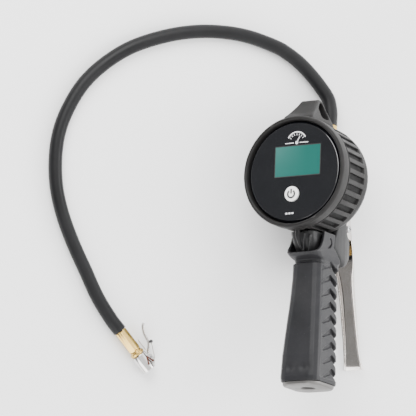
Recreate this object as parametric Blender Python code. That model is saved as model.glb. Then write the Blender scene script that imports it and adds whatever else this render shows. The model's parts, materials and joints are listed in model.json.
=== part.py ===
"""Tyre inflator: a pistol-grip air valve with a digital gauge, a hose and a clip-on chuck.

The tool is drawn in its own upright frame, in millimetres: X to the reader's right, Y back
from the gauge face, Z up, with the origin in the middle of the lens. The empty 'tool' then
lays it on its back on the ground plane Z = 0, resting on the lever's end, the rim of the
gauge boot and the hose. The chuck is drawn along its own axis and lies at the hose's end.
"""
import math

import bmesh
import bpy
from mathutils import Euler, Matrix, Vector

MM = 0.001

# ---- fits ----
GAP = 0.3                # between pieces that touch
RUNNING_GAP = 0.25       # between a moving piece and its guide

# ---- gauge head ----
LENS_RADIUS = 45.8
LENS_THICKNESS = 2.2
LENS_RISE = 5.2           # how far the lens's front stands before the face behind it
BOOT_WALL = 4.2
BOOT_LIP_HEIGHT = 8.0
BOOT_POCKETS = 32
POCKET_DEPTH = 2.0
CASE_DEPTH = 44.0
CASE_WALL = 2.0
DISPLAY_SIZE = (45.2, 27.4)
DISPLAY_HEIGHT = 11.0
BUTTON_RADIUS = 6.7
BUTTON_PLACE = (-1.7, -19.9)
BUTTON_TRAVEL = 0.8
BATTERY_RADIUS = 5.2
BATTERY_LENGTH = 44.0

# ---- body, grip and valve ----
COLUMN_BACK = 58.5       # how far behind the lens the hose outlet stands
COLUMN_HALF = 7.5
BOSS_FACE = COLUMN_HALF + 0.4 - COLUMN_BACK   # front of the boss that the gauge screws onto
OUTLET_TOP = 48.0
NECK_TOP = -44.0
HOUSING_BACK = 83.3
GRIP_TOP = -77.0
GRIP_BOTTOM = -183.5
GRIP_TOP_HALF = 15.0
GRIP_BOTTOM_HALF = 19.4
GRIP_WALL = 4.2
VALVE_HEIGHT = -54.0     # height of the valve's axis
VALVE_BORE = 6.5
STEM_RADIUS = 2.0
VALVE_TRAVEL = 4.6
INLET_RADIUS = 6.3

# ---- lever ----
PIVOT = (78.0, -36.0)    # back, up
PIVOT_RADIUS = 2.0
LEVER_GAUGE = 1.5
LEVER_HALF = 10.3
EAR_RADIUS = 8.6

# ---- hose and chuck ----
HOSE_RADIUS = 6.2
FERRULE_LENGTH = 22.0
CHUCK_RADIUS = 6.9
CHUCK_LENGTH = 16.2
CHUCK_BORE = 4.3
CLIP_WIDTH = 5.0

# ---- how the tool lies on the ground ----
LAY_TURN = math.radians(-41.0)
LAY_TILT = math.radians(-100.0)
LENS_CENTRE = Vector((-20.83, 62.66, 65.89))

RUBBER = ((0.030, 0.029, 0.028), 0.62, 0.0)
BLACK_PLASTIC = ((0.020, 0.020, 0.022), 0.45, 0.0)
CASTING = ((0.060, 0.060, 0.062), 0.48, 0.3)
CHROME = ((0.78, 0.78, 0.78), 0.12, 1.0)
STEEL = ((0.55, 0.55, 0.56), 0.30, 1.0)
ALLOY = ((0.62, 0.62, 0.62), 0.38, 1.0)
BRASS = ((0.78, 0.60, 0.28), 0.25, 1.0)
BOARD = ((0.02, 0.18, 0.07), 0.50, 0.0)
TEAL = ((0.02, 0.16, 0.14), 0.30, 0.0)
WHITE_PLASTIC = ((0.80, 0.80, 0.78), 0.35, 0.0)
SMOKED = ((0.03, 0.03, 0.04), 0.08, 0.0)


# ---------------------------------------------------------------- shared helpers

def coloured(name, look):
    """A material with the piece's own colour, roughness and metallic value."""
    colour, roughness, metallic = look
    material = bpy.data.materials.new(name)
    material.use_nodes = True
    shader = material.node_tree.nodes["Principled BSDF"]
    shader.inputs["Base Color"].default_value = (*colour, 1.0)
    shader.inputs["Roughness"].default_value = roughness
    shader.inputs["Metallic"].default_value = metallic
    return material


def frame(name, at=(0, 0, 0), turn=(0, 0, 0), parent=None):
    """An empty that carries pieces drawn in their own frame."""
    empty = bpy.data.objects.new(name, None)
    empty.location = Vector(at) * MM
    empty.rotation_euler = Euler([math.radians(angle) for angle in turn])
    empty.parent = parent
    bpy.context.collection.objects.link(empty)
    return empty


def solid(name, mesh_data, look, parent, at=(0, 0, 0), turn=(0, 0, 0), smooth=True):
    """Turn a bmesh drawn in millimetres into a closed, named object."""
    bmesh.ops.remove_doubles(mesh_data, verts=mesh_data.verts, dist=1e-4)
    bmesh.ops.scale(mesh_data, vec=(MM, MM, MM), verts=mesh_data.verts)
    bmesh.ops.recalc_face_normals(mesh_data, faces=mesh_data.faces)
    mesh = bpy.data.meshes.new(name)
    mesh_data.to_mesh(mesh)
    mesh_data.free()
    if smooth:
        mesh.shade_smooth()
        mesh.set_sharp_from_angle(angle=math.radians(32))
    piece = bpy.data.objects.new(name, mesh)
    piece.location = Vector(at) * MM
    piece.rotation_euler = Euler([math.radians(angle) for angle in turn])
    piece.parent = parent
    if look is not None:
        mesh.materials.append(coloured(name, look))
    bpy.context.collection.objects.link(piece)
    return piece


def cutter(piece):
    """Mark a piece as a guide that only shapes others."""
    piece.hide_render = True
    piece.display_type = 'WIRE'
    return piece


def shape_with(piece, other, operation):
    """Cut `other` from the piece, or join it on, and leave it out of the object."""
    cutter(other)
    change = piece.modifiers.new(operation.title(), 'BOOLEAN')
    change.operation = operation
    change.solver = 'EXACT'
    change.object = other
    return piece


def cut(piece, *others):
    for other in others:
        shape_with(piece, other, 'DIFFERENCE')


def join(piece, *others):
    for other in others:
        shape_with(piece, other, 'UNION')


def turned_mesh(outline, sides, into=None, matrix=Matrix()):
    """Revolve a closed outline of (radius, height) about local Z."""
    data = into or bmesh.new()
    rings = []
    for index, (radius, height) in enumerate(outline):
        neighbours = (outline[index - 1], outline[(index + 1) % len(outline)])
        if radius == 0 and all(r == 0 or h == height for r, h in neighbours):
            rings.append([])            # a flat end needs no point on the axis
            continue
        ring = []
        for step in range(sides if radius else 1):
            angle = 2 * math.pi * step / sides
            point = Vector((radius * math.cos(angle), radius * math.sin(angle), height))
            ring.append(data.verts.new(matrix @ point))
        rings.append(ring)
    for index, ring in enumerate(rings):
        following = rings[(index + 1) % len(rings)]
        if len(ring) < 2 and len(following) < 2:
            continue
        if not ring or not following:
            data.faces.new(ring or following)
            continue
        for step in range(sides):
            after = (step + 1) % sides
            if len(ring) == 1:
                data.faces.new((ring[0], following[step], following[after]))
            elif len(following) == 1:
                data.faces.new((ring[step], following[0], ring[after]))
            else:
                data.faces.new((ring[step], following[step], following[after], ring[after]))
    return data


def disc(radius, low, high, edge=0.0):
    """Outline of a plain round piece, with a small chamfer on both ends."""
    return [(0, low), (radius - edge, low), (radius, low + edge),
            (radius, high - edge), (radius - edge, high), (0, high)]


def tube(outer, inner, low, high, edge=0.0):
    """Outline of a round piece with a hole through it."""
    return [(inner, low), (outer - edge, low), (outer, low + edge),
            (outer, high - edge), (outer - edge, high), (inner, high)]


def turned(name, outline, look, parent, sides=32, at=(0, 0, 0), turn=(0, 0, 0)):
    return solid(name, turned_mesh(outline, sides), look, parent, at, turn)


def hex_nut(name, across, bore, low, high, parent, look, **place):
    """A hexagon with a round hole through it."""
    nut = turned(name, disc(across, low, high), look, parent, 6, **place)
    cut(nut, turned(name + "_bore", disc(bore, low - 1, high + 1), None, parent, 24, **place))
    return nut


def lofted_mesh(rings, into=None):
    """Skin rings of equal point counts, in order, and close both ends."""
    data = into or bmesh.new()
    loops = [[data.verts.new(point) for point in ring] for ring in rings]
    for first, second in zip(loops, loops[1:]):
        for index in range(len(first)):
            after = (index + 1) % len(first)
            data.faces.new((first[index], first[after], second[after], second[index]))
    data.faces.new(loops[0][::-1])
    data.faces.new(loops[-1])
    return data


def set_hinge(piece, point):
    """Move a piece's origin onto its hinge and leave its shape where it is."""
    point = Vector(point) * MM
    piece.data.transform(Matrix.Translation(-point))
    piece.location = point


def lofted(name, rings, look, parent, at=(0, 0, 0), turn=(0, 0, 0)):
    return solid(name, lofted_mesh(rings), look, parent, at, turn)


def box_mesh(low, high, into=None):
    """A plain box between two corners."""
    (x0, y0, z0), (x1, y1, z1) = low, high
    rings = [[(x0, y0, z), (x1, y0, z), (x1, y1, z), (x0, y1, z)] for z in (z0, z1)]
    return lofted_mesh(rings, into)


def rounded_ring(half_x, front, back, height, corner, points=4):
    """A level ring: a rectangle with round corners, from `front` to `back` along Y."""
    middle = (front + back) / 2
    half_y = (back - front) / 2
    radius = min(corner, half_x * 0.98, half_y * 0.98)
    ring = []
    for quarter in range(4):
        side_x = 1 if quarter in (0, 3) else -1
        side_y = 1 if quarter in (0, 1) else -1
        for step in range(points):
            angle = math.pi / 2 * (quarter + step / (points - 1))
            x = side_x * (half_x - radius) + radius * math.cos(angle)
            y = middle + side_y * (half_y - radius) + radius * math.sin(angle)
            ring.append(Vector((x, y, height)))
    return ring


def side_plate(outline, half_width):
    """Rings for a piece drawn in side view as (back, up) and as wide as given each side."""
    return [[Vector((x, back, up)) for back, up in outline] for x in (-half_width, half_width)]


def blend(points, value):
    """Read a smooth curve through (value, result) pairs, given in rising order."""
    if value <= points[0][0]:
        return points[0][1]
    for (low, first), (high, second) in zip(points, points[1:]):
        if value <= high:
            share = (value - low) / (high - low)
            share = share * share * (3 - 2 * share)
            return first + (second - first) * share
    return points[-1][1]


# ---------------------------------------------------------------- gauge head
# Head pieces are turned about the gauge axis: their local Z points to the reader,
# local Y is up, and height 0 is the front of the lens.

BOOT_BORE = LENS_RADIUS + GAP
BOOT_RADIUS = BOOT_BORE + BOOT_WALL
RIM_RADIUS = BOOT_RADIUS - 2.4
BOOT_BACK = -CASE_DEPTH - GAP - 2.6
REAR_OPENING = 30.0
FACE_BACK = -LENS_THICKNESS - GAP
DISPLAY_DEPTH = 3.4
BOARD_FRONT = FACE_BACK - 0.6 - DISPLAY_DEPTH - 2 * GAP - 1.6
BOARD_THICKNESS = 1.6
CASE_BORE = LENS_RADIUS - CASE_WALL
STEM_BORE = 5.0


def gauge_boot(head):
    """Rubber boot: a cup with a proud front lip, pockets round its side and a hanging loop."""
    lip = BOOT_LIP_HEIGHT
    ribs = BOOT_RADIUS - 0.5
    outline = [
        (BOOT_BORE, BOOT_BACK + 2.6), (BOOT_BORE, GAP), (BOOT_BORE + 0.3, 0.8 * lip),
        (BOOT_BORE + 1.3, lip), (BOOT_BORE + 2.8, lip), (BOOT_RADIUS, 0.8 * lip),
        (BOOT_RADIUS, -3.4), (BOOT_RADIUS - 0.3, -4.2), (BOOT_RADIUS - 1.4, -4.4),
        (BOOT_RADIUS - 1.4, -5.4), (ribs, -5.6), (ribs - 1.0, -35.0), (ribs - 2.0, -35.2),
        (ribs - 2.0, -36.2), (RIM_RADIUS, -36.4), (RIM_RADIUS, -41.0),
        (RIM_RADIUS - 0.6, BOOT_BACK + 3.0), (RIM_RADIUS - 2.4, BOOT_BACK + 0.8),
        (RIM_RADIUS - 5.0, BOOT_BACK), (REAR_OPENING, BOOT_BACK),
        (REAR_OPENING, BOOT_BACK + 2.6),
    ]
    boot = turned("gauge_boot", outline, RUBBER, head, sides=2 * BOOT_POCKETS)

    pockets = bmesh.new()
    pitch = 2 * math.pi / BOOT_POCKETS
    half_width = 0.29 * pitch * BOOT_RADIUS
    floor = BOOT_RADIUS - 0.6 - POCKET_DEPTH
    for index in range(BOOT_POCKETS):
        turn = Matrix.Rotation((index + 0.5) * pitch, 4, 'Z')
        corners = []
        for height in (-34.2, -7.0):
            ring = []
            for x, y in ((floor, -1), (BOOT_RADIUS + 2, -1), (BOOT_RADIUS + 2, 1), (floor, 1)):
                ring.append(turn @ Vector((x, y * half_width, height)))
            corners.append(ring)
        lofted_mesh(corners, pockets)
    cut(boot, solid("boot_pockets", pockets, None, head))

    join(boot, hanging_loop(head))
    return boot


def hanging_loop(head):
    """A strap over the top of the boot, wide at its foot, with a teardrop hole across it."""
    foot, top = BOOT_BORE + 1.0, BOOT_RADIUS + 19.8
    outer = [(-2.0, foot), (2.6, foot + 3.0), (-4.5, foot + 8.0), (-12.0, foot + 15.5),
             (-18.5, top - 1.4), (-22.5, top), (-26.5, top - 0.6), (-30.0, top - 4.0),
             (-33.4, foot + 10.0), (-37.5, foot + 2.0), (-37.0, foot - 1.2)]
    hole = [(-17.5, foot + 6.6), (-22.5, foot + 5.4), (-30.5, foot + 6.2), (-29.6, foot + 12.5),
            (-27.5, foot + 18.0), (-24.8, foot + 20.4), (-21.5, foot + 19.2), (-17.0, foot + 13.5)]

    def across(outline, widths):
        rings = []
        for side in (-1, 1):
            ring = []
            for depth, height in outline:
                half = blend([(foot, widths[0]), (top, widths[1])], height)
                ring.append(Vector((side * half, height, depth)))
            rings.append(ring)
        return rings

    loop = lofted("loop_strap", across(outer, (15.0, 8.6)), None, head)
    cut(loop, lofted("loop_hole", across(hole, (22.0, 22.0)), None, head))
    return loop


def gauge_case(head):
    """Plastic cup that holds the electronics; the stem enters through its back."""
    outline = [
        (STEM_BORE, -CASE_DEPTH), (LENS_RADIUS - 1.0, -CASE_DEPTH),
        (LENS_RADIUS, -CASE_DEPTH + 1.0), (LENS_RADIUS, FACE_BACK - 0.6 - GAP),
        (CASE_BORE, FACE_BACK - 0.6 - GAP), (CASE_BORE, BOARD_FRONT - BOARD_THICKNESS - GAP),
        (CASE_BORE - 3.0, BOARD_FRONT - BOARD_THICKNESS - GAP - 2.0),
        (CASE_BORE - 3.0, -CASE_DEPTH + 2 * CASE_WALL), (STEM_BORE, -CASE_DEPTH + 2 * CASE_WALL),
    ]
    case = turned("gauge_case", outline, BLACK_PLASTIC, head, sides=48)
    door = box_mesh((-22.5, -28.0, -CASE_DEPTH - 1), (22.5, -10.8, -CASE_DEPTH + 5))
    cut(case, solid("door_opening", door, None, head))
    return case


def gauge_face(head):
    """Lens, printed face, display and button, stacked from the front."""
    button_hole = BUTTON_RADIUS + RUNNING_GAP + 0.1
    at_button = (BUTTON_PLACE[0], BUTTON_PLACE[1], 0)

    skirt = LENS_RADIUS - LENS_THICKNESS
    cover = [(0, LENS_RISE - LENS_THICKNESS), (skirt, LENS_RISE - LENS_THICKNESS),
             (skirt, -LENS_THICKNESS), (LENS_RADIUS, -LENS_THICKNESS),
             (LENS_RADIUS, LENS_RISE - 0.5), (LENS_RADIUS - 0.5, LENS_RISE), (0, LENS_RISE)]
    lens = turned("gauge_lens", cover, SMOKED, head, 48)
    hole = disc(button_hole, -4, LENS_RISE + 2)
    cut(lens, turned("lens_button_hole", hole, None, head, 32, at_button))

    face = turned("face_panel", disc(LENS_RADIUS, FACE_BACK - 0.6, FACE_BACK), SMOKED, head, 48)
    width, height = DISPLAY_SIZE
    window = box_mesh((-width / 2, DISPLAY_HEIGHT - height / 2, FACE_BACK - 2),
                      (width / 2, DISPLAY_HEIGHT + height / 2, FACE_BACK + 1))
    cut(face, solid("face_window", window, None, head))
    cut(face, turned("face_button_hole", disc(button_hole, -6, 0), None, head, 32, at_button))

    front = FACE_BACK - 0.6 - GAP
    size = (width / 2 + 2.4, height / 2 + 2.0)
    display = box_mesh((-size[0], DISPLAY_HEIGHT - size[1], front - DISPLAY_DEPTH),
                       (size[0], DISPLAY_HEIGHT + size[1], front))
    solid("display", display, TEAL, head)

    lows = (DISPLAY_HEIGHT - size[1] + 0.6, DISPLAY_HEIGHT + size[1] - 3.0)
    for index, low in enumerate(lows):
        strip = box_mesh((-size[0] + 3, low, BOARD_FRONT + GAP),
                         (size[0] - 3, low + 2.4, front - DISPLAY_DEPTH - GAP))
        solid(f"display_contact_strip_{index + 1}", strip, RUBBER, head)


def mode_button(head):
    """Round push button in the lens, standing on the switch behind it."""
    low = FACE_BACK - 1.6
    outline = [(0, low - 2.4), (1.8, low - 2.4), (1.8, low - 0.4), (BUTTON_RADIUS, low),
               (BUTTON_RADIUS, LENS_RISE + 0.9), (BUTTON_RADIUS - 0.7, LENS_RISE + 1.5),
               (0, LENS_RISE + 1.7)]
    turned("mode_button", outline, WHITE_PLASTIC, head, 32, (*BUTTON_PLACE, 0))

    top = low - 2.4 - BUTTON_TRAVEL - GAP
    base = BOARD_FRONT + GAP
    switch = box_mesh((-3, -3, base), (3, 3, max(top, base + 0.8)))
    solid("button_switch", switch, BLACK_PLASTIC, head, (*BUTTON_PLACE, 0))


def electronics(head):
    """Circuit board, pressure sensor, two cells, their contacts and the door behind them."""
    board = turned("circuit_board",
                   disc(CASE_BORE - GAP, BOARD_FRONT - BOARD_THICKNESS, BOARD_FRONT),
                   BOARD, head, 48)
    notch = box_mesh((-8, -50, BOARD_FRONT - 4), (8, -CASE_BORE + 4, BOARD_FRONT + 4))
    cut(board, solid("board_notch", notch, None, head))

    sensor_front = BOARD_FRONT - BOARD_THICKNESS - GAP
    outline = [(0, sensor_front), (7.5, sensor_front), (7.5, sensor_front - 6),
               (5.0, sensor_front - 7), (5.0, sensor_front - 9.5), (0, sensor_front - 9.5)]
    turned("pressure_sensor", outline[::-1], STEEL, head, 32)

    row = -19.8
    back = -CASE_DEPTH + 2 * CASE_WALL + GAP + BATTERY_RADIUS
    for index, side in enumerate((-1, 1)):
        cell = disc(BATTERY_RADIUS, 0, BATTERY_LENGTH - 1.2, 0.3)[:-2]
        cell += [(2.0, BATTERY_LENGTH - 1.2), (2.0, BATTERY_LENGTH), (0, BATTERY_LENGTH)]
        place = (-side * BATTERY_LENGTH / 2, row + side * (BATTERY_RADIUS + GAP), back)
        turned(f"battery_{index + 1}", cell, STEEL, head, 24, place, (0, side * 90, 0))

    reach = BATTERY_LENGTH / 2 + GAP
    for index, side in enumerate((-1, 1)):
        low, high = sorted((side * reach, side * (reach + 0.6)))
        plate = box_mesh((low, row - 9.5, back - 4.0), (high, row + 9.5, back + 5.5))
        solid(f"battery_contact_{index + 1}", plate, STEEL, head)

    door = box_mesh((-22.2, -27.7, -CASE_DEPTH), (22.2, -11.1, -CASE_DEPTH + 1.8))
    cover = solid("battery_door", door, BLACK_PLASTIC, head)
    for index, side in enumerate((-1, 1)):
        place = (side * 19.0, row, 0)
        cut(cover, turned(f"door_screw_hole_{index + 1}", disc(1.35, -60, -40), None, head, 16,
                          place))
        shank = -CASE_DEPTH + 2.6
        outline = [(0, shank), (1.0, shank), (1.0, -CASE_DEPTH - GAP), (2.3, -CASE_DEPTH - GAP),
                   (2.3, -CASE_DEPTH - 1.4), (0, -CASE_DEPTH - 1.4)]
        turned(f"door_screw_{index + 1}", outline, STEEL, head, 16, place)


def gauge_stem(head):
    """Brass stem that carries air to the sensor and clamps the case to the body."""
    nut_front = -CASE_DEPTH + 2 * CASE_WALL + GAP
    sensor_back = BOARD_FRONT - BOARD_THICKNESS - GAP - 9.5
    front = sensor_back - GAP
    outline = [(1.4, BOSS_FACE - 5.0), (4.6, BOSS_FACE - 5.0), (4.6, BOSS_FACE + GAP),
               (7.0, BOSS_FACE + GAP), (7.0, -CASE_DEPTH - GAP), (4.7, -CASE_DEPTH - GAP),
               (4.7, front), (1.4, front)]
    turned("gauge_stem", outline, BRASS, head, 24)

    hex_nut("stem_nut", 8.5, 5.0, nut_front, nut_front + 2.6, head, BRASS)

    seal = round_ring(6.2, 1.15, front - 3.0)
    turned("stem_seal", seal, RUBBER, head, 20)


def round_ring(radius, wire, height, points=6):
    """Outline of an O-ring."""
    outline = []
    for step in range(points):
        angle = 2 * math.pi * step / points
        outline.append((radius + wire * math.cos(angle), height + wire * math.sin(angle)))
    return outline


# ---------------------------------------------------------------- body, grip and valve
# These pieces are drawn in the tool's upright frame: X right, Y back, Z up.

PIN_EAR_HALF = LEVER_HALF - LEVER_GAUGE - RUNNING_GAP


def rod(name, start, end, radius, look, parent, sides=16):
    """A plain cylinder between two points."""
    start, end = Vector(start), Vector(end)
    along = (end - start)
    turn = along.to_track_quat('Z', 'Y').to_matrix().to_4x4()
    data = turned_mesh(disc(radius, 0, along.length), sides, None,
                       Matrix.Translation(start) @ turn)
    return solid(name, data, look, parent)


def grip_half(height):
    """Half width of the grip at a height."""
    return blend([(GRIP_BOTTOM, GRIP_BOTTOM_HALF), (GRIP_TOP, GRIP_TOP_HALF)], height)


def grip_front(height):
    return blend([(GRIP_BOTTOM, 10.3), (GRIP_TOP, 19.4)], height)


def grip_back(height):
    return blend([(GRIP_BOTTOM, 53.5), (GRIP_TOP, 59.5)], height)


def core_rings(margin):
    """The casting's neck and the core inside the grip, grown by a margin."""
    stations = []
    for height in (GRIP_BOTTOM + 0.2, -150.0, -115.0, -84.0):
        middle = (grip_front(height) + grip_back(height)) / 2 - 0.4
        half_x = grip_half(height) - GRIP_WALL
        half_y = (grip_back(height) - grip_front(height)) / 2 - GRIP_WALL - 1.5
        stations.append((height, half_x, middle - half_y, middle + half_y))
    stations += [(-77.0, 9.6, 26.0, 54.0), (-70.0, 10.4, 19.0, 57.0), (-64.0, 11.0, 14.5, 58.0),
                 (-57.0, 11.8, 10.5, 58.0), (NECK_TOP, 12.4, 6.5, 58.0)]
    if margin:
        stations.insert(0, (GRIP_BOTTOM - 6.0, *stations[0][1:]))
    return [rounded_ring(half_x + margin, front - margin, back + margin, height, 8.0 + margin)
            for height, half_x, front, back in stations]


def boot_clearance(parent, name):
    """The space that the boot takes, with room round it."""
    radius = BOOT_RADIUS + 0.7
    return rod(name, (0, -30, 0), (0, -BOOT_BACK + 0.7, 0), radius, None, parent, 64)


def housing_low(back):
    """Lower edge of the lever housing, which follows the grip's top edge."""
    return max(-73.7, -59.9 - 0.7 * (back - 41.5))


def valve_body(tool):
    """One casting: grip core, neck, lever housing and the column up to the hose outlet."""
    body = lofted("valve_body", core_rings(0.0), CASTING, tool)

    stations = [(43.7, 14.4, -52.0), (47.0, 15.2, -46.0), (52.0, 15.4, -34.0),
                (58.0, 15.2, -28.0), (66.0, 14.6, -27.0), (72.0, 13.6, -27.0),
                (78.0, 12.0, -27.6), (81.5, 10.6, -30.0), (HOUSING_BACK, 9.0, -33.0)]
    rings = []
    for back, half_x, high in stations:
        low = housing_low(back) + max(0.0, back - 70.0) * 0.7
        level = rounded_ring(half_x, low, high, 0.0, 5.0)
        rings.append([Vector((point.x, back, point.y)) for point in level])
    housing = lofted("housing_block", rings, None, tool)

    front, back = COLUMN_BACK - COLUMN_HALF, COLUMN_BACK + COLUMN_HALF
    column = lofted("outlet_column", [rounded_ring(COLUMN_HALF, front, back, height, 6.0)
                                      for height in (-40.0, OUTLET_TOP - 3.5)], None, tool)
    outlet = disc(COLUMN_HALF + 0.6, OUTLET_TOP - 8, OUTLET_TOP, 0.8)
    boss = turned("outlet_boss", outlet, None, tool, 32, (0, COLUMN_BACK, 0))
    gauge_boss = turned("gauge_boss", disc(9.6, -COLUMN_BACK, BOSS_FACE), None, tool, 32,
                        turn=(90, 0, 0))
    join(body, housing, column, boss, gauge_boss)
    cut(body, *(lever_recess(tool, side) for side in (-1, 1)))

    cut(body, boot_clearance(tool, "boot_space_in_body"))
    outlet = [(0, VALVE_HEIGHT), (3.5, VALVE_HEIGHT), (3.5, OUTLET_TOP - 14),
              (4.8, OUTLET_TOP - 14), (4.8, OUTLET_TOP + 5), (0, OUTLET_TOP + 5)]
    gauge = [(0, -COLUMN_BACK - 1.2), (2.4, -COLUMN_BACK - 1.2), (2.4, BOSS_FACE - 5.4),
             (4.9, BOSS_FACE - 5.4), (4.9, BOSS_FACE + 4), (0, BOSS_FACE + 4)]
    cut(body,
        rod("valve_bore", (0, 36, VALVE_HEIGHT), (0, HOUSING_BACK + 5, VALVE_HEIGHT),
            VALVE_BORE, None, tool, 28),
        turned("outlet_way", outlet, None, tool, 20, (0, COLUMN_BACK, 0)),
        turned("gauge_way", gauge, None, tool, 20, turn=(90, 0, 0)),
        rod("inlet_way", (0, inlet_back(), GRIP_BOTTOM + 8), (0, 39.5, VALVE_HEIGHT), 4.0,
            None, tool),
        rod("inlet_socket", (0, inlet_back(), GRIP_BOTTOM - 5),
            (0, inlet_back(), GRIP_BOTTOM + 14), 8.8, None, tool, 32),
        rod("pin_bore", (-20, *PIVOT), (20, *PIVOT), PIVOT_RADIUS + 0.2, None, tool, 24))
    return body


def lever_recess(tool, side):
    """Room beside the housing for one of the lever's ears and the channel behind it."""
    back, up = PIVOT
    reach = EAR_RADIUS + 0.8
    outline = [(back + 20, up + 30), (back, up + 30)]
    for step in range(7):
        angle = math.radians(90 + 30 * step)
        outline.append((back + reach * math.cos(angle), up + reach * math.sin(angle)))
    # a notch under the ear, which the ear's lower edge swings into when the lever is squeezed
    outline += [(back + 1.0, up - reach - 2.6), (back + 20, up - reach - 2.6)]
    inner = [Vector((side * PIN_EAR_HALF, y, z)) for y, z in outline]
    outer = [Vector((side * 30.0, y, z)) for y, z in outline]
    return lofted(f"lever_recess_{side}", [inner, outer], None, tool)


def inlet_back():
    """Where the inlet's axis stands, in the middle of the grip's end."""
    return (grip_front(GRIP_BOTTOM) + grip_back(GRIP_BOTTOM)) / 2


def grip_sleeve(tool):
    """Rubber grip: a sleeve with a flared collar, side wings and chevron grooves."""
    rings = []
    for height in (GRIP_BOTTOM, GRIP_BOTTOM + 4, -160.0, -135.0, -110.0, -90.0, GRIP_TOP):
        flare = 0.5 if height == GRIP_BOTTOM else 0.0
        rings.append(rounded_ring(grip_half(height) - flare, grip_front(height) + flare,
                                  grip_back(height) - flare, height, 7.5))
    for height, half_x, front, back in (
            (-76.2, 14.2, 21.4, 61.0), (-73.4, 14.2, 20.6, 62.0), (-71.2, 15.4, 13.5, 64.0),
            (-68.4, 16.2, 9.6, 66.0), (-64.0, 16.6, 8.6, 66.0), (-40.0, 16.0, 8.6, 66.0)):
        rings.append(rounded_ring(half_x, front, back, height, 8.0))
    sleeve = lofted("grip_sleeve", rings, RUBBER, tool)

    above_lip = [(-30, -30), (-30, -69.4), (7, -69.6), (11, -68.8), (15, -66.4), (18.5, -62.6),
                 (21.5, -57.6), (23.5, -52.0), (24.5, -45.0), (24.5, -30)]
    behind = [(46.4, -30), (46.0, -43.0), (41.2, -60.2), (60.8, -74.1), (110, -74.1), (110, -30)]
    throat = [rounded_ring(half_x, front, 48.0, height, 6.5)
              for height, half_x, front in ((-72.6, 12.8, 20.6), (-70.8, 13.4, 16.4),
                                            (-68.0, 14.0, 11.6), (-64.0, 14.4, 10.8),
                                            (-30.0, 13.2, 10.8))]
    cut(sleeve,
        lofted("core_space", core_rings(GAP), None, tool),
        lofted("above_lip", side_plate(above_lip, 40), None, tool),
        lofted("behind_wing", side_plate(behind, 40), None, tool),
        lofted("collar_throat", throat, None, tool),
        boot_clearance(tool, "boot_space_in_grip"),
        chevron_grooves(tool))
    return sleeve


def chevron_grooves(tool):
    """A wide arm running out at the back of the grip and a thin arm towards its front."""
    pitch, apex, first, count = 12.05, 40.5, -72.7, 9
    data = bmesh.new()
    for side in (-1, 1):
        for index in range(count):
            top = first - index * pitch
            surface = grip_half(top)
            outline = [(apex, top, surface - 1.6), (64.0, top - 10.4, surface - 9.5),
                       (64.0, top - 17.8, surface - 9.5), (apex, top - 5.2, surface - 1.6),
                       (24.0, top - 10.8, surface - 1.1), (24.0, top - 9.1, surface - 1.1)]
            inner = [Vector((side * x, y, z)) for y, z, x in outline]
            outer = [Vector((side * 24.0, y, z)) for y, z, x in outline]
            lofted_mesh([inner, outer], data)
    return solid("chevron_cutters", data, None, tool)


def inlet_parts(tool):
    """Threaded inlet in the grip's end, with its strainer."""
    place = (0, inlet_back(), 0)
    top = GRIP_BOTTOM - GAP
    plate = [rounded_ring(GRIP_BOTTOM_HALF - inset, grip_front(GRIP_BOTTOM) + inset,
                          grip_back(GRIP_BOTTOM) - inset, height, 11.0, 6)
             for height, inset in ((top - 3.4, 1.6), (top - 2.6, 0.8), (top, 0.6))]
    fitting = lofted("inlet_fitting", plate, ALLOY, tool)
    spigot = turned("inlet_spigot", disc(8.4, top - 0.5, top + 10.6), None, tool, 32, place)
    hole = turned("inlet_hole", disc(INLET_RADIUS, top - 10, top + 20), None, tool, 32, place)
    join(fitting, spigot)
    cut(fitting, hole)

    low = top + 10.9
    outline = [(6.0, low), (8.3, low), (8.3, low + 0.8), (6.6, low + 0.8), (2.2, low + 3.2),
               (2.2, low + 2.4)]
    turned("inlet_strainer", outline, STEEL, tool, 24, place)


def valve_parts(tool):
    """Seat, stem with its poppet and seal, spring and gland, all along the valve's axis."""
    axis = {"at": (0, 0, VALVE_HEIGHT), "turn": (90, 0, 0)}
    bore = VALVE_BORE - 0.15
    seat_front = 56.0

    turned("valve_seat", tube(bore, 3.0, -60.0, -seat_front, 0.3), BRASS, tool, 32, **axis)
    tip = -88.55
    stem = [(0, tip), (1.2, tip), (STEM_RADIUS, tip + 0.8), (STEM_RADIUS, -54.6), (4.8, -54.6),
            (4.8, -52.4), (2.6, -52.4), (2.6, -50.6), (0, -50.6)]
    turned("valve_stem", stem, STEEL, tool, 24, **axis)
    seal = tube(4.8, STEM_RADIUS + 0.15, -55.8, -54.75)
    turned("poppet_seal", seal, RUBBER, tool, 24, **axis)

    turned("valve_gland", tube(bore, STEM_RADIUS + RUNNING_GAP, -83.6, -75.6, 0.4), BRASS, tool,
           32, **axis)
    ring = round_ring(STEM_RADIUS + 1.3, 1.0, -73.8)
    turned("stem_seal_ring", ring, RUBBER, tool, 24, **axis)
    turned("seal_retainer", tube(bore, 3.0, -72.2, -70.6), BRASS, tool, 32, **axis)
    valve_spring(tool, 36.6, 50.2 - VALVE_TRAVEL)


def valve_spring(tool, front, back):
    """Coil spring ahead of the poppet, drawn at its squeezed length."""
    turns, per_turn, wire = 4.5, 14, 0.5
    radius = VALVE_BORE - wire - 0.7
    count = int(turns * per_turn)
    data = bmesh.new()
    rings = []
    for step in range(count + 1):
        angle = 2 * math.pi * step / per_turn
        along = front + wire + (back - front - 2 * wire) * step / count
        centre = Vector((radius * math.cos(angle), along, radius * math.sin(angle)))
        outward = Vector((math.cos(angle), 0, math.sin(angle)))
        ring = []
        for corner in range(5):
            turn = 2 * math.pi * corner / 5
            ring.append(centre + wire * (math.cos(turn) * outward
                                         + math.sin(turn) * Vector((0, 1, 0))))
        rings.append(ring)
    lofted_mesh(rings, data)
    solid("valve_spring", data, STEEL, tool, (0, 0, VALVE_HEIGHT))


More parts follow.
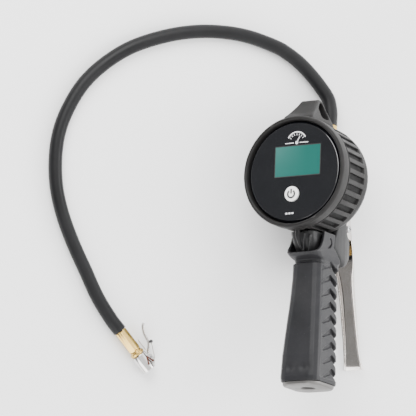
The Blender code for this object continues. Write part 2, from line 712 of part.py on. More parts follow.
# ---------------------------------------------------------------- lever

def lever(tool):
    """Pressed channel: round ears on the pivot, narrow in the middle and flared at its tip."""
    back, up = PIVOT
    # height, back of the web, depth of the sides, half width
    stations = [(up + share * EAR_RADIUS, 86.0 - 1.75 * share, 0.0, LEVER_HALF)
                for share in (0.97, 0.85, 0.6, 0.3, 0.0, -0.3, -0.6, -0.85, -0.97)]
    stations += [(up - 9.1, 88.4, 3.2, LEVER_HALF),
                (-52.0, 90.2, 2.4, LEVER_HALF), (-60.0, 92.6, 2.4, 9.9), (-68.0, 95.2, 3.6, 9.2),
                (-76.0, 97.8, 5.6, 8.2), (-86.0, 100.8, 6.0, 7.5), (-100.0, 104.2, 5.6, 7.2),
                (-120.0, 108.6, 4.8, 7.3), (-136.0, 111.8, 3.8, 7.6), (-148.0, 114.2, 3.0, 8.3),
                (-153.0, 115.8, 2.6, 9.0), (-156.5, 117.8, 2.4, 9.6)]
    rings = []
    for height, web, depth, half in stations:
        if depth == 0.0:
            reach = math.sqrt(EAR_RADIUS ** 2 - (height - up) ** 2)
            depth = web - (back - reach)
        edge, wall = web - depth, LEVER_GAUGE
        rings.append([Vector((x, y, height)) for x, y in (
            (-half, edge), (-half, web - 1.6), (-half + 0.5, web - 0.5), (-half + 1.6, web),
            (half - 1.6, web), (half - 0.5, web - 0.5), (half, web - 1.6), (half, edge),
            (half - wall, edge), (half - wall, web - wall), (-half + wall, web - wall),
            (-half + wall, edge))])
    blade = lofted("lever", rings, CHROME, tool)
    set_hinge(blade, (0, *PIVOT))
    cut(blade, rod("lever_holes", (-20, *PIVOT), (20, *PIVOT), PIVOT_RADIUS + RUNNING_GAP,
                   None, tool, 24))

    axis = {"at": (0, *PIVOT), "turn": (0, 90, 0)}
    face = LEVER_HALF + GAP
    screw = [(0, -face - 3.0), (PIVOT_RADIUS, -face - 3.0), (PIVOT_RADIUS, face), (3.3, face),
             (3.3, face + 1.2), (2.4, face + 2.0), (0, face + 2.0)]
    pin = turned("lever_screw", screw, STEEL, tool, 24, **axis)
    for name, size in (("screw_slot_a", (1.9, 0.45)), ("screw_slot_b", (0.45, 1.9))):
        slot = box_mesh((-size[0], -size[1], face + 0.8), (size[0], size[1], face + 5))
        cut(pin, solid(name, slot, None, tool, **axis))
    hex_nut("lever_nut", 3.8, PIVOT_RADIUS + 0.25, -face - 2.4, -face, tool, STEEL, **axis)


# ---------------------------------------------------------------- hose and chuck

HEX_TOP = OUTLET_TOP + GAP + 6.8


def hose_fitting(tool):
    """Brass hexagon with a threaded shank in the outlet."""
    low = OUTLET_TOP + GAP
    place = (0, COLUMN_BACK, 0)
    shank = [(2.5, low - 12), (4.5, low - 12), (4.5, low + 2), (2.5, low + 2)]
    fitting = turned("hose_fitting", shank, BRASS, tool, 24, place)
    join(fitting, turned("fitting_hexagon", [(1.0, low), (6.4, low), (6.9, low + 0.5),
                                             (6.9, HEX_TOP - 0.5), (6.4, HEX_TOP),
                                             (1.0, HEX_TOP)], None, tool, 6, place))
    cut(fitting, turned("fitting_way", disc(2.5, low - 20, HEX_TOP + 5), None, tool, 24, place))


# The hose's way over the ground, in world millimetres, from past its first straight to the
# chuck: across, up the page, height of its middle.
HOSE_ROUTE = [
    (15, 133, 8.7), (8, 143, 7.3), (-1, 153, 6.6), (-12, 163, 6.4), (-24, 171, 6.4),
    (-37, 177, 6.4), (-64, 184, 6.4), (-92, 185.5, 6.4), (-118, 182.5, 6.4),
    (-143, 175.5, 6.4), (-167, 165, 6.4), (-188, 150, 6.4), (-205.5, 131.5, 6.4),
    (-218, 109, 6.4), (-225.5, 85, 6.4), (-227, 60, 6.4), (-224, 35, 6.4),
    (-216.5, 11, 6.4), (-206, -12, 6.4), (-193.5, -35, 6.4), (-181.5, -57, 6.6),
]
CHUCK_PLACE = (-158.9, -86.2, 7.0)
CHUCK_HEADING = -48.3


def smooth_route(points, spacing):
    """Points at an even spacing along a smooth curve through the given ones."""
    guide = [points[0] * 2 - points[1]] + points + [points[-1] * 2 - points[-2]]
    dense = []
    for index in range(1, len(guide) - 2):
        before, start, end, after = guide[index - 1:index + 3]
        for step in range(12):
            t = step / 12
            dense.append(0.5 * (2 * start + (end - before) * t
                                + (2 * before - 5 * start + 4 * end - after) * t ** 2
                                + (3 * start - before - 3 * end + after) * t ** 3))
    dense.append(points[-1])
    total = sum((b - a).length for a, b in zip(dense, dense[1:]))
    count = max(2, round(total / spacing))
    result, walked, target = [dense[0]], 0.0, total / count
    for a, b in zip(dense, dense[1:]):
        length = (b - a).length
        while walked + length >= target * len(result) and len(result) < count:
            share = (target * len(result) - walked) / length
            result.append(a.lerp(b, share))
        walked += length
    result.append(dense[-1])
    return result


def hose(tool):
    """Rubber air hose, straight out of its fitting, then over the ground to the chuck."""
    bpy.context.view_layer.update()
    start = tool.matrix_world @ (Vector((0, COLUMN_BACK, HEX_TOP + GAP)) * MM)
    along = (tool.matrix_world.to_3x3() @ Vector((0, 0, 1))).normalized()
    points = [start + along * 12 * MM]
    points += [Vector(point) * MM for point in HOSE_ROUTE]
    heading = math.radians(CHUCK_HEADING)
    end = Vector(CHUCK_PLACE) * MM
    final = Vector((math.cos(heading), math.sin(heading), 0))
    points += [end - final * 14 * MM]

    curve = bpy.data.curves.new("hose", 'CURVE')
    curve.dimensions = '3D'
    curve.bevel_depth = HOSE_RADIUS * MM
    curve.bevel_resolution = 3
    curve.use_fill_caps = True
    route = [start, *smooth_route(points, 2.4 * 2 * HOSE_RADIUS * MM), end]
    spline = curve.splines.new('POLY')
    spline.points.add(len(route) - 1)
    for point, place in zip(spline.points, route):
        point.co = (*place, 1.0)
    curve.materials.append(coloured("hose", RUBBER))
    bpy.context.collection.objects.link(bpy.data.objects.new("hose", curve))


def strip_mesh(middle, thickness, half_width, into=None):
    """A bent strip: a middle line in (along, out), given a thickness and a width."""
    points = [Vector(point) for point in middle]
    sides = ([], [])
    for index, point in enumerate(points):
        ahead = points[min(index + 1, len(points) - 1)]
        before = points[max(index - 1, 0)]
        heading = (ahead - before).normalized()
        normal = Vector((-heading.y, heading.x)) * thickness / 2
        sides[0].append(point + normal)
        sides[1].append(point - normal)
    outline = sides[0] + sides[1][::-1]
    rings = [[Vector((out, y, along)) for along, out in outline]
             for y in (-half_width, half_width)]
    return lofted_mesh(rings, into)


CHUCK_START = FERRULE_LENGTH + 5.3
CHUCK_END = CHUCK_START + CHUCK_LENGTH
CLIP_PIVOT = (CHUCK_START + 7.7, 7.4)      # along the chuck, out from its axis


def chuck(axis):
    """Hose end, adapter and clip-on chuck; local Z runs from the hose to the mouth."""
    outline = [(2.6, GAP), (5.6, GAP), (6.1, GAP + 0.6), (6.1, FERRULE_LENGTH - 0.6),
               (5.6, FERRULE_LENGTH), (2.6, FERRULE_LENGTH)]
    turned("end_ferrule", outline, BRASS, axis, 6, turn=(0, 0, 30))
    low = FERRULE_LENGTH + GAP
    outline = [(2.2, low), (5.2, low), (5.2, low + 1.4), (6.4, low + 1.8), (6.4, low + 3.8),
               (5.8, CHUCK_START - GAP), (2.2, CHUCK_START - GAP)]
    turned("chuck_adapter", outline, BRASS, axis, 24)

    bottom = CHUCK_START + 7.2
    outline = [(2.0, CHUCK_START), (CHUCK_RADIUS - 0.5, CHUCK_START),
               (CHUCK_RADIUS, CHUCK_START + 0.5), (CHUCK_RADIUS, CHUCK_END - 0.8),
               (CHUCK_RADIUS - 0.8, CHUCK_END), (CHUCK_BORE, CHUCK_END), (CHUCK_BORE, bottom),
               (2.0, bottom)]
    barrel = turned("chuck_body", outline, CHROME, axis, 40)
    half = CLIP_WIDTH / 2 + RUNNING_GAP
    for side in (-1, 1):
        low_y, high_y = sorted((side * half, side * (half + 1.3)))
        ear = box_mesh((4.0, low_y, CHUCK_START + 3.4), (9.4, high_y, CHUCK_END - 2.2))
        join(barrel, solid(f"chuck_ear_{side}", ear, None, axis))
    slot = box_mesh((3.1, -half, CHUCK_START + 2.6), (12.0, half, CHUCK_END + 3))
    cut(barrel, solid("clip_slot", slot, None, axis))
    along, out = CLIP_PIVOT
    cut(barrel, rod("clip_pin_bore", (out, -10, along), (out, 10, along), 1.1, None, axis))

    rod("clip_pin", (out, -half - 1.5, along), (out, half + 1.5, along), 0.95, STEEL, axis)

    middle = [(7.4, 21.0), (9.2, 18.8), (12.3, 16.9), (16.0, 15.5), (20.0, 14.8), (23.6, 14.2),
              (26.6, 12.0), (29.6, 9.0), (32.6, 7.6), (37.4, 7.4), (40.2, 6.6), (42.4, 5.3)]
    start = CHUCK_START - 27.3
    strip = strip_mesh([(along_at + start, out_at) for along_at, out_at in middle], 1.1,
                       CLIP_WIDTH / 2)
    clip = solid("chuck_clip", strip, CHROME, axis)
    set_hinge(clip, (out, 0, along))
    barrel_of_clip = rod("clip_knuckle", (out, -CLIP_WIDTH / 2, along),
                         (out, CLIP_WIDTH / 2, along), 2.0, None, axis)
    join(clip, barrel_of_clip)
    cut(clip, rod("clip_bore", (out, -10, along), (out, 10, along), 1.15, None, axis))

    wire = [(24.2, 15.6), (27.0, 15.4), (31.0, 13.6), (36.0, 11.2), (38.6, 9.6)]
    strip = strip_mesh([(along_at + start, out_at) for along_at, out_at in wire], 0.8, 0.5)
    solid("clip_wire", strip, STEEL, axis)

    # the leaf is drawn pressed flat, as it lies when the clip is open
    leaf = [(27.2, 8.0), (24.8, 8.0), (22.4, 7.9), (19.0, 7.8), (16.4, 8.3)]
    strip = strip_mesh([(along_at + start, out_at) for along_at, out_at in leaf], 0.5, 1.8)
    solid("clip_spring", strip, STEEL, axis)

    turned("chuck_gasket", tube(CHUCK_BORE - 0.2, 1.9, bottom + 0.3, bottom + 3.0, 0.3), RUBBER,
           axis, 24)
    outline = [(0, bottom - 3.6), (1.6, bottom - 3.6), (1.6, bottom - 1.2), (0.9, bottom - 0.6),
               (0.9, bottom + 3.4), (0, bottom + 3.8)]
    turned("valve_depressor", outline, BRASS, axis, 16)


# ---------------------------------------------------------------- whole object

def main():
    for old in list(bpy.data.objects):
        bpy.data.objects.remove(old)
    tool = frame("tool", LENS_CENTRE)
    tool.rotation_mode = 'ZYX'
    tool.rotation_euler = (LAY_TILT, 0.0, LAY_TURN)
    head = frame("gauge_axis", turn=(90, 0, 0), parent=tool)

    gauge_boot(head)
    gauge_case(head)
    gauge_face(head)
    mode_button(head)
    electronics(head)
    gauge_stem(head)

    valve_body(tool)
    grip_sleeve(tool)
    inlet_parts(tool)
    valve_parts(tool)
    lever(tool)

    hose_fitting(tool)
    hose(tool)
    chuck(frame("chuck_axis", CHUCK_PLACE, (90, 0, CHUCK_HEADING + 90)))


main()
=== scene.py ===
"""Detailed looks for a pistol-grip tyre inflator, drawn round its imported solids.

Pieces are drawn in millimetres in the tool's own frame: X to the reader's right, Y back from
the gauge face, Z up, with the origin in the middle of the lens. Head pieces use the gauge
axis (Z towards the reader, Y up), and the chuck uses its own axis (Z towards its mouth,
X out to the clip). Each piece rides on the body that it belongs to.
"""
import json
import math

import bmesh
import bpy
from bpy.props import (FloatProperty, FloatVectorProperty, IntProperty, PointerProperty)
from mathutils import Matrix, Vector


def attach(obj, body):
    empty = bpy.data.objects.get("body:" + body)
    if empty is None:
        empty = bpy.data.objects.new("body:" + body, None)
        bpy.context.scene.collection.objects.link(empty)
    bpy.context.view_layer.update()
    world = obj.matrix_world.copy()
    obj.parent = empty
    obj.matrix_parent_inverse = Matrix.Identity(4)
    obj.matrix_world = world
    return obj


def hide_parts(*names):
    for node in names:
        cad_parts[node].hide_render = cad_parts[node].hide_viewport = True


bl_info = {
    "name": "Tyre inflator looks",
    "version": (1, 0, 0),
    "blender": (4, 5, 0),
    "location": "3D View > Sidebar > Inflator",
    "description": "Builds the detailed pieces and finishes of a tyre inflator with gauge",
    "category": "Object",
}

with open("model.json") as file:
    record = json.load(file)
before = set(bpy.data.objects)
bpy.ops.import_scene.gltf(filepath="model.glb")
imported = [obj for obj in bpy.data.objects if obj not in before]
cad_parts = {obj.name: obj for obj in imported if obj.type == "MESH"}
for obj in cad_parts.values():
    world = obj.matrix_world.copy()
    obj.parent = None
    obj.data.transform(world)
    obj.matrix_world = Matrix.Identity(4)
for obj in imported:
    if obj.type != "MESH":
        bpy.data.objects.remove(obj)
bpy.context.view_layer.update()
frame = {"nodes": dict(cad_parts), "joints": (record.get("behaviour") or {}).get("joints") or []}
MM = 0.001
TURN = 2 * math.pi
SHARP_ANGLE = math.radians(38)
SHARP_TURNED = math.radians(25)
SHARP_HEXAGON = math.radians(20)
QUARTER = math.radians(90)

# ---- places, read from the frame ----
JOINTS = {joint["name"]: joint for joint in frame["joints"]}
PIVOT = (78.0, -36.0)            # the lever's pin: back, up


def tool_matrix():
    """The tool's upright frame, from the lever's pin and the two axes that it stands on."""
    across = -Vector(JOINTS["lever_squeeze"]["axis"]).normalized()
    back = -Vector(JOINTS["valve_travel"]["axis"]).normalized()
    turn = Matrix((across, back, across.cross(back))).transposed()
    origin = Vector(JOINTS["lever_squeeze"]["pos_m"]) - turn @ Vector((0, *PIVOT)) * MM
    return Matrix.Translation(origin) @ turn.to_4x4()


TOOL = tool_matrix()
HEAD = TOOL @ Matrix.Rotation(QUARTER, 4, 'X')

CHUCK_HEADING = math.radians(-48.3)
CHUCK_PLACE = Vector((-158.9, -86.2, 7.0)) * MM
CHUCK = (Matrix.Translation(CHUCK_PLACE)
         @ Matrix.Rotation(CHUCK_HEADING + QUARTER, 4, 'Z')
         @ Matrix.Rotation(QUARTER, 4, 'X'))

# ---- gauge head, millimetres ----
GAP = 0.3
LENS_RADIUS = 45.8
LENS_THICKNESS = 2.2
LENS_RISE = 5.2
SEEN_SHIFT = Vector((2.9, -1.2))    # where the lens shows what lies behind it
BOOT_BORE = LENS_RADIUS + GAP
BOOT_RADIUS = BOOT_BORE + 4.2
BOOT_LIP = 8.0
BOOT_BACK = -46.9
RIM_RADIUS = BOOT_RADIUS - 2.4
REAR_OPENING = 30.0
BOOT_WALL = 2.6                  # of the rim that turns in at the back
POCKETS = 32
POCKET_TOP = -6.2
POCKET_FOOT = -34.6
POCKET_FADE = 1.0                # over which a pocket sinks at its two ends
DISPLAY_SIZE = (45.2, 27.4)
DISPLAY_HEIGHT = 11.0
BUTTON_PLACE = (-1.7, -19.9)
BUTTON_RADIUS = 6.7

# ---- body, grip and lever ----
COLUMN_BACK = 58.5
OUTLET_TOP = 48.0
GRIP_BOTTOM = -183.5
INLET_BACK = 31.9
INLET_RADIUS = 6.3
LEVER_HALF = 10.3
LEVER_GAUGE = 1.5
EAR_RADIUS = 8.6

# ---- hose and chuck ----
HOSE_RADIUS = 6.2
HEX_TOP = OUTLET_TOP + 7.1
FERRULE_LENGTH = 22.0
HEXAGON_STEPS = 72
CHUCK_START = FERRULE_LENGTH + 5.3
CHUCK_END = CHUCK_START + 16.2
CHUCK_RADIUS = 6.9
CHUCK_BORE = 4.3
CHUCK_SEAT = CHUCK_START + 7.2       # the floor of the bore
EAR_GAP_HALF = 2.75                  # between the ears, from the middle
CLIP_HALF = 2.5
CLIP_PIVOT = (CHUCK_START + 7.7, 7.4)
HOSE_ROUTE = [
    (15, 133, 8.7), (8, 143, 7.3), (-1, 153, 6.6), (-12, 163, 6.4), (-24, 171, 6.4),
    (-37, 177, 6.4), (-64, 184, 6.4), (-92, 185.5, 6.4), (-118, 182.5, 6.4),
    (-143, 175.5, 6.4), (-167, 165, 6.4), (-188, 150, 6.4), (-205.5, 131.5, 6.4),
    (-218, 109, 6.4), (-225.5, 85, 6.4), (-227, 60, 6.4), (-224, 35, 6.4),
    (-216.5, 11, 6.4), (-206, -12, 6.4), (-193.5, -35, 6.4), (-181.5, -57, 6.6),
]

# ---- camera ----
VIEW_RIGHT = Vector((0.9796, 0.0680, 0.1889))
VIEW_UP = Vector((-0.0739, 0.9970, 0.0246))
VIEW_TO_CAMERA = Vector((-0.1866, -0.0380, 0.9817))
VIEW_CENTRE = (-78.6, -31.0)     # right and up from the lens, millimetres
VIEW_WIDTH = 366.0
VIEW_DISTANCE = 4.0
WORLD_STRENGTH = 3.2
FLOOR_HALF = 6000.0


# ---------------------------------------------------------------- settings

class InflatorLooks(bpy.types.PropertyGroup):
    """Sizes and colours that a user would change."""
    pocket_depth: FloatProperty(
        name="Pocket depth", description="How deep the pockets round the boot are",
        default=2.0 * MM, min=0.0, max=2.4 * MM, unit='LENGTH')
    skin_detail: FloatProperty(
        name="Skin detail", description="Mesh size of the moulded skins",
        default=0.55 * MM, min=0.3 * MM, max=2.0 * MM, unit='LENGTH')
    round_steps: IntProperty(
        name="Round steps", description="Sides of a full circle on turned pieces",
        default=96, min=24, max=256)
    rubber_colour: FloatVectorProperty(
        name="Rubber", description="Boot and grip rubber", default=(0.0095, 0.009, 0.009),
        size=3, min=0.0, max=1.0, subtype='COLOR')
    panel_colour: FloatVectorProperty(
        name="Grip rubber", description="Smoother rubber of the grip",
        default=(0.0125, 0.0125, 0.014), size=3, min=0.0, max=1.0, subtype='COLOR')
    hose_colour: FloatVectorProperty(
        name="Hose", description="Hose rubber", default=(0.0075, 0.0075, 0.008),
        size=3, min=0.0, max=1.0, subtype='COLOR')
    lens_colour: FloatVectorProperty(
        name="Lens", description="Smoked gauge lens", default=(0.0022, 0.0026, 0.004),
        size=3, min=0.0, max=1.0, subtype='COLOR')
    display_colour: FloatVectorProperty(
        name="Display", description="Liquid crystal display", default=(0.004, 0.075, 0.062),
        size=3, min=0.0, max=1.0, subtype='COLOR')
    floor_colour: FloatVectorProperty(
        name="Floor", description="Plain pale floor", default=(0.95, 0.95, 0.95),
        size=3, min=0.0, max=1.0, subtype='COLOR')


def looks():
    """The sizes and colours in use."""
    return bpy.context.scene.inflator_looks


# ---------------------------------------------------------------- mesh helpers

def make_piece(name, data, material, place):
    """Turn a bmesh drawn in millimetres in some frame into an object in the shared frame."""
    bmesh.ops.remove_doubles(data, verts=data.verts, dist=1e-4)
    bmesh.ops.recalc_face_normals(data, faces=data.faces)
    data.transform(place @ Matrix.Scale(MM, 4))
    mesh = bpy.data.meshes.new(name)
    data.to_mesh(mesh)
    data.free()
    mesh.shade_smooth()
    mesh.set_sharp_from_angle(angle=SHARP_ANGLE)
    piece = bpy.data.objects.new(name, mesh)
    if material:
        mesh.materials.append(material)
    bpy.context.collection.objects.link(piece)
    return piece


def settle(piece, body, slot, *nodes):
    """Fix a finished piece to its body and let it stand for its solids."""
    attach(piece, body)
    if nodes:
        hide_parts(*nodes)
    return piece


def circle(count=16, turn=0.0):
    """The points of a unit circle, as (cosine, sine)."""
    angles = [TURN * step / count + turn for step in range(count)]
    return [(math.cos(angle), math.sin(angle)) for angle in angles]


def round_corner(before, corner, after, radius, steps, most=0.45):
    """A short curve in place of a corner; most is the largest share of a side it may take."""
    reach = min(radius, (before - corner).length * most, (after - corner).length * most)
    start = corner + (before - corner).normalized() * reach
    end = corner + (after - corner).normalized() * reach
    curve = []
    for step in range(steps + 1):
        t = step / steps
        curve.append(start * (1 - t) ** 2 + corner * 2 * t * (1 - t) + end * t ** 2)
    return curve


def rounded_outline(outline, radius, steps=3, closed=True):
    """Round the corners of an outline of (a, b) pairs by short curves."""
    points = [Vector(point) for point in outline]
    result = []
    for index, corner in enumerate(points):
        if not closed and index in (0, len(points) - 1):
            result.append(corner)
            continue
        after = points[(index + 1) % len(points)]
        result += round_corner(points[index - 1], corner, after, radius, steps)
    return result


def lathe(outline, sides, into=None, matrix=Matrix()):
    """Revolve a closed outline of (radius, height) about local Z; radius 0 closes an end."""
    data = into or bmesh.new()
    rings = []
    for radius, height in outline:
        if radius < 1e-6:
            rings.append([data.verts.new(matrix @ Vector((0, 0, height)))])
            continue
        ring = []
        for cosine, sine in circle(sides):
            point = Vector((radius * cosine, radius * sine, height))
            ring.append(data.verts.new(matrix @ point))
        rings.append(ring)
    for index, ring in enumerate(rings):
        following = rings[(index + 1) % len(rings)]
        if len(ring) == 1 and len(following) == 1:
            continue
        for step in range(sides):
            after = (step + 1) % sides
            corners = [ring[step % len(ring)], following[step % len(following)],
                       following[after % len(following)], ring[after % len(ring)]]
            data.faces.new(list(dict.fromkeys(corners)))
    return data


def loft(rings, into=None, caps=True):
    """Skin rings of equal point counts, in order."""
    data = into or bmesh.new()
    loops = [[data.verts.new(point) for point in ring] for ring in rings]
    for first, second in zip(loops, loops[1:]):
        for index in range(len(first)):
            after = (index + 1) % len(first)
            data.faces.new((first[index], first[after], second[after], second[index]))
    if caps:
        data.faces.new(loops[0][::-1])
        data.faces.new(loops[-1])
    return data


def slab(outline, low, high, into=None, edge=0.15):
    """A flat shape with softened edges, from an outline of (x, y) pairs."""
    middle = sum((Vector(point) for point in outline), Vector((0, 0))) / len(outline)
    rings = []
    for height, inset in ((low, 0.0), (high - edge, 0.0), (high, edge)):
        ring = []
        for point in outline:
            point = Vector(point)
            away = point - middle
            point = point - away.normalized() * min(inset, away.length * 0.3)
            ring.append(Vector((point.x, point.y, height)))
        rings.append(ring)
    return loft(rings, into)


def rounded_rectangle(width, height, corner, centre=(0, 0), steps=6):
    """Outline of a rectangle with round corners."""
    points = []
    for quarter in range(4):
        side_x = 1 if quarter in (0, 3) else -1
        side_y = 1 if quarter in (0, 1) else -1
        for step in range(steps + 1):
            angle = math.pi / 2 * (quarter + step / steps)
            points.append((centre[0] + side_x * (width / 2 - corner) + corner * math.cos(angle),
                           centre[1] + side_y * (height / 2 - corner) + corner * math.sin(angle)))
    return points


def arc_band(centre, radius, width, start, end, steps=24):
    """Outline of a curved strip between two angles in degrees."""
    outline = []
    for reach, order in ((radius + width / 2, 1), (radius - width / 2, -1)):
        stretch = range(steps + 1) if order == 1 else range(steps, -1, -1)
        for step in stretch:
            angle = math.radians(start + (end - start) * step / steps)
            outline.append((centre[0] + reach * math.cos(angle),
                            centre[1] + reach * math.sin(angle)))
    return outline


def band_slab(outline, low, high, into):
    """A curved strip as a thin slab; its outline runs out along one edge and back."""
    half = len(outline) // 2
    outer, inner = outline[:half], outline[half:][::-1]
    rings = []
    for first, second in zip(outer, inner):
        rings.append([Vector((*first, low)), Vector((*first, high)),
                      Vector((*second, high)), Vector((*second, low))])
    return loft(rings, into)


def stroke(start, end, width, low, high, into):
    """A straight mark between two points on a flat face."""
    start, end = Vector(start), Vector(end)
    along = (end - start).normalized()
    side = Vector((-along.y, along.x)) * width / 2
    outline = [start + side, start - side, end - side, end + side]
    return slab([tuple(point) for point in outline], low, high, into, 0.05)


def curve_points(points, steps=10, closed=False):
    """A smooth line through points."""
    points = [Vector(point) for point in points]
    if closed:
        guide = [points[-1], *points, points[0], points[1]]
    else:
        guide = [points[0] * 2 - points[1], *points, points[-1] * 2 - points[-2]]
    result = []
    for index in range(1, len(guide) - 2):
        before, start, end, after = guide[index - 1:index + 3]
        for step in range(steps):
            t = step / steps
            result.append(0.5 * (2 * start + (end - before) * t
                                 + (2 * before - 5 * start + 4 * end - after) * t ** 2
                                 + (3 * start - before - 3 * end + after) * t ** 3))
    if not closed:
        result.append(points[-1])
    return result


def add_bevel(piece, width, segments=3, angle=35):
    """Round the edges sharper than an angle, and keep the result in the mesh."""
    bevel = piece.modifiers.new("Rounded edges", 'BEVEL')
    bevel.width = width * MM
    bevel.segments = segments
    bevel.limit_method = 'ANGLE'
    bevel.angle_limit = math.radians(angle)
    return bake_mesh(piece)


def bake_mesh(piece):
    """Replace a piece's mesh by the result of its modifiers."""
    bpy.context.view_layer.update()
    seen = piece.evaluated_get(bpy.context.evaluated_depsgraph_get())
    mesh = bpy.data.meshes.new_from_object(seen)
    mesh.name = piece.name
    piece.modifiers.clear()
    piece.data = mesh
    return piece


def cut_away(piece, *cutters):
    """Cut shapes out of a piece and throw them away."""
    for other in cutters:
        change = piece.modifiers.new("Cut", 'BOOLEAN')
        change.operation = 'DIFFERENCE'
        change.solver = 'EXACT'
        change.object = other
    bake_mesh(piece)
    for other in cutters:
        bpy.data.objects.remove(other)
    return piece


def moulded_skin(piece, detail, rounds):
    """Fuse overlapping closed shapes into one skin with softened edges."""
    skin = piece.modifiers.new("Skin", 'REMESH')
    skin.mode = 'VOXEL'
    skin.voxel_size = detail
    skin.use_smooth_shade = True
    soft = piece.modifiers.new("Soft edges", 'SMOOTH')
    soft.factor = 0.5
    soft.iterations = rounds
    material = piece.data.materials[0] if piece.data.materials else None
    bake_mesh(piece)
    piece.data.materials.clear()
    if material:
        piece.data.materials.append(material)
    piece.data.shade_smooth()
    return piece


def solid_copy(node, place):
    """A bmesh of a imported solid, in millimetres in the frame that a piece is drawn in."""
    data = bmesh.new()
    data.from_mesh(frame["nodes"][node].data)
    data.transform(Matrix.Scale(1 / MM, 4) @ place.inverted())
    bmesh.ops.remove_doubles(data, verts=data.verts, dist=1e-3)
    return data


def smoothstep(low, high, value):
    """0 to 1 between two values, with a soft start and end."""
    share = min(1.0, max(0.0, (value - low) / (high - low)))
    return share * share * (3 - 2 * share)


def blend_table(table, value):
    """Read straight stretches between (value, result...) rows given in falling order."""
    if value >= table[0][0]:
        return table[0][1:]
    for first, second in zip(table, table[1:]):
        if value >= second[0]:
            share = (first[0] - value) / (first[0] - second[0])
            return tuple(a + (b - a) * share for a, b in zip(first[1:], second[1:]))
    return table[-1][1:]


# ---------------------------------------------------------------- finishes

def link(tree, source, target):
    """Join two sockets."""
    tree.links.new(source, target)


def new_group(name, inputs, outputs):
    """An empty node group with named inputs (name, default) and float outputs."""
    group = bpy.data.node_groups.new(name, 'ShaderNodeTree')
    for title, default in inputs:
        socket = group.interface.new_socket(name=title, in_out='INPUT',
                                            socket_type='NodeSocketFloat')
        socket.default_value = default
    for title in outputs:
        group.interface.new_socket(name=title, in_out='OUTPUT', socket_type='NodeSocketFloat')
    return group, group.nodes.new('NodeGroupInput'), group.nodes.new('NodeGroupOutput')


def noise(tree, vector, scale, detail=3.0, roughness=0.5):
    node = tree.nodes.new('ShaderNodeTexNoise')
    node.inputs["Detail"].default_value = detail
    node.inputs["Roughness"].default_value = roughness
    link(tree, vector, node.inputs["Vector"])
    if isinstance(scale, (int, float)):
        node.inputs["Scale"].default_value = scale
    else:
        link(tree, scale, node.inputs["Scale"])
    return node.outputs["Fac"]


def map_range(tree, value, low, high, new_low, new_high):
    node = tree.nodes.new('ShaderNodeMapRange')
    for title, setting in (("From Min", low), ("From Max", high), ("To Min", new_low),
                           ("To Max", new_high)):
        if isinstance(setting, (int, float)):
            node.inputs[title].default_value = setting
        else:
            link(tree, setting, node.inputs[title])
    link(tree, value, node.inputs["Value"])
    return node.outputs["Result"]


def math_node(tree, operation, first, second):
    node = tree.nodes.new('ShaderNodeMath')
    node.operation = operation
    for socket, setting in zip(node.inputs, (first, second)):
        if isinstance(setting, (int, float)):
            socket.default_value = setting
        else:
            link(tree, setting, socket)
    return node.outputs[0]


def grain_group():
    """Fine moulded texture: a height, and a roughness that wanders a little."""
    group, given, result = new_group(
        "Moulded grain", [("Scale", 900.0), ("Roughness Low", 0.4), ("Roughness High", 0.6)],
        ["Height", "Roughness", "Mottle"])
    place = group.nodes.new('ShaderNodeTexCoord').outputs["Object"]
    fine = noise(group, place, given.outputs["Scale"], 4.0, 0.6)
    broad = noise(group, place, 42.0, 4.0, 0.6)
    link(group, fine, result.inputs["Height"])
    link(group, map_range(group, broad, 0.3, 0.7, given.outputs["Roughness Low"],
                          given.outputs["Roughness High"]), result.inputs["Roughness"])
    link(group, map_range(group, broad, 0.35, 0.65, 0.0, 1.0), result.inputs["Mottle"])
    return group


def wear_group():
    """Where edges have rubbed: a mask from the surface's own curvature, broken by noise."""
    group, given, result = new_group(
        "Edge wear", [("Start", 0.52), ("End", 0.6), ("Break Up", 140.0)], ["Mask"])
    curvature = group.nodes.new('ShaderNodeNewGeometry').outputs["Pointiness"]
    place = group.nodes.new('ShaderNodeTexCoord').outputs["Object"]
    edge = map_range(group, curvature, given.outputs["Start"], given.outputs["End"], 0.0, 1.0)
    patches = map_range(group, noise(group, place, given.outputs["Break Up"], 5.0, 0.65),
                        0.35, 0.62, 0.25, 1.0)
    link(group, math_node(group, 'MULTIPLY', edge, patches), result.inputs["Mask"])
    return group


def dust_group():
    """Sparse pale specks and a faint film in broad patches."""
    group, given, result = new_group("Dust", [("Amount", 0.1), ("Speck Scale", 700.0)], ["Mask"])
    place = group.nodes.new('ShaderNodeTexCoord').outputs["Object"]
    specks = map_range(group, noise(group, place, given.outputs["Speck Scale"], 2.0, 0.5),
                       0.68, 0.76, 0.0, 1.0)
    film = map_range(group, noise(group, place, 30.0, 5.0, 0.6), 0.4, 0.8, 0.0, 0.5)
    both = math_node(group, 'ADD', specks, film)
    link(group, math_node(group, 'MULTIPLY', both, given.outputs["Amount"]),
         result.inputs["Mask"])
    return group


def turned_group():
    """Fine marks across a direction, as a lathe tool or a polishing belt leaves them."""
    group, given, result = new_group(
        "Turned marks", [("Scale", 5000.0), ("Along X", 0.0), ("Along Y", 0.0),
                         ("Along Z", 1.0)], ["Height", "Streak"])
    place = group.nodes.new('ShaderNodeTexCoord').outputs["Object"]
    along = group.nodes.new('ShaderNodeCombineXYZ')
    for axis in "XYZ":
        link(group, given.outputs["Along " + axis], along.inputs[axis])
    dot = group.nodes.new('ShaderNodeVectorMath')
    dot.operation = 'DOT_PRODUCT'
    link(group, place, dot.inputs[0])
    link(group, along.outputs[0], dot.inputs[1])
    join = group.nodes.new('ShaderNodeCombineXYZ')
    link(group, dot.outputs["Value"], join.inputs["X"])
    rings = noise(group, join.outputs[0], given.outputs["Scale"], 2.0, 0.5)
    link(group, rings, result.inputs["Height"])
    link(group, map_range(group, rings, 0.3, 0.7, 0.0, 1.0), result.inputs["Streak"])
    return group


GROUPS = {}


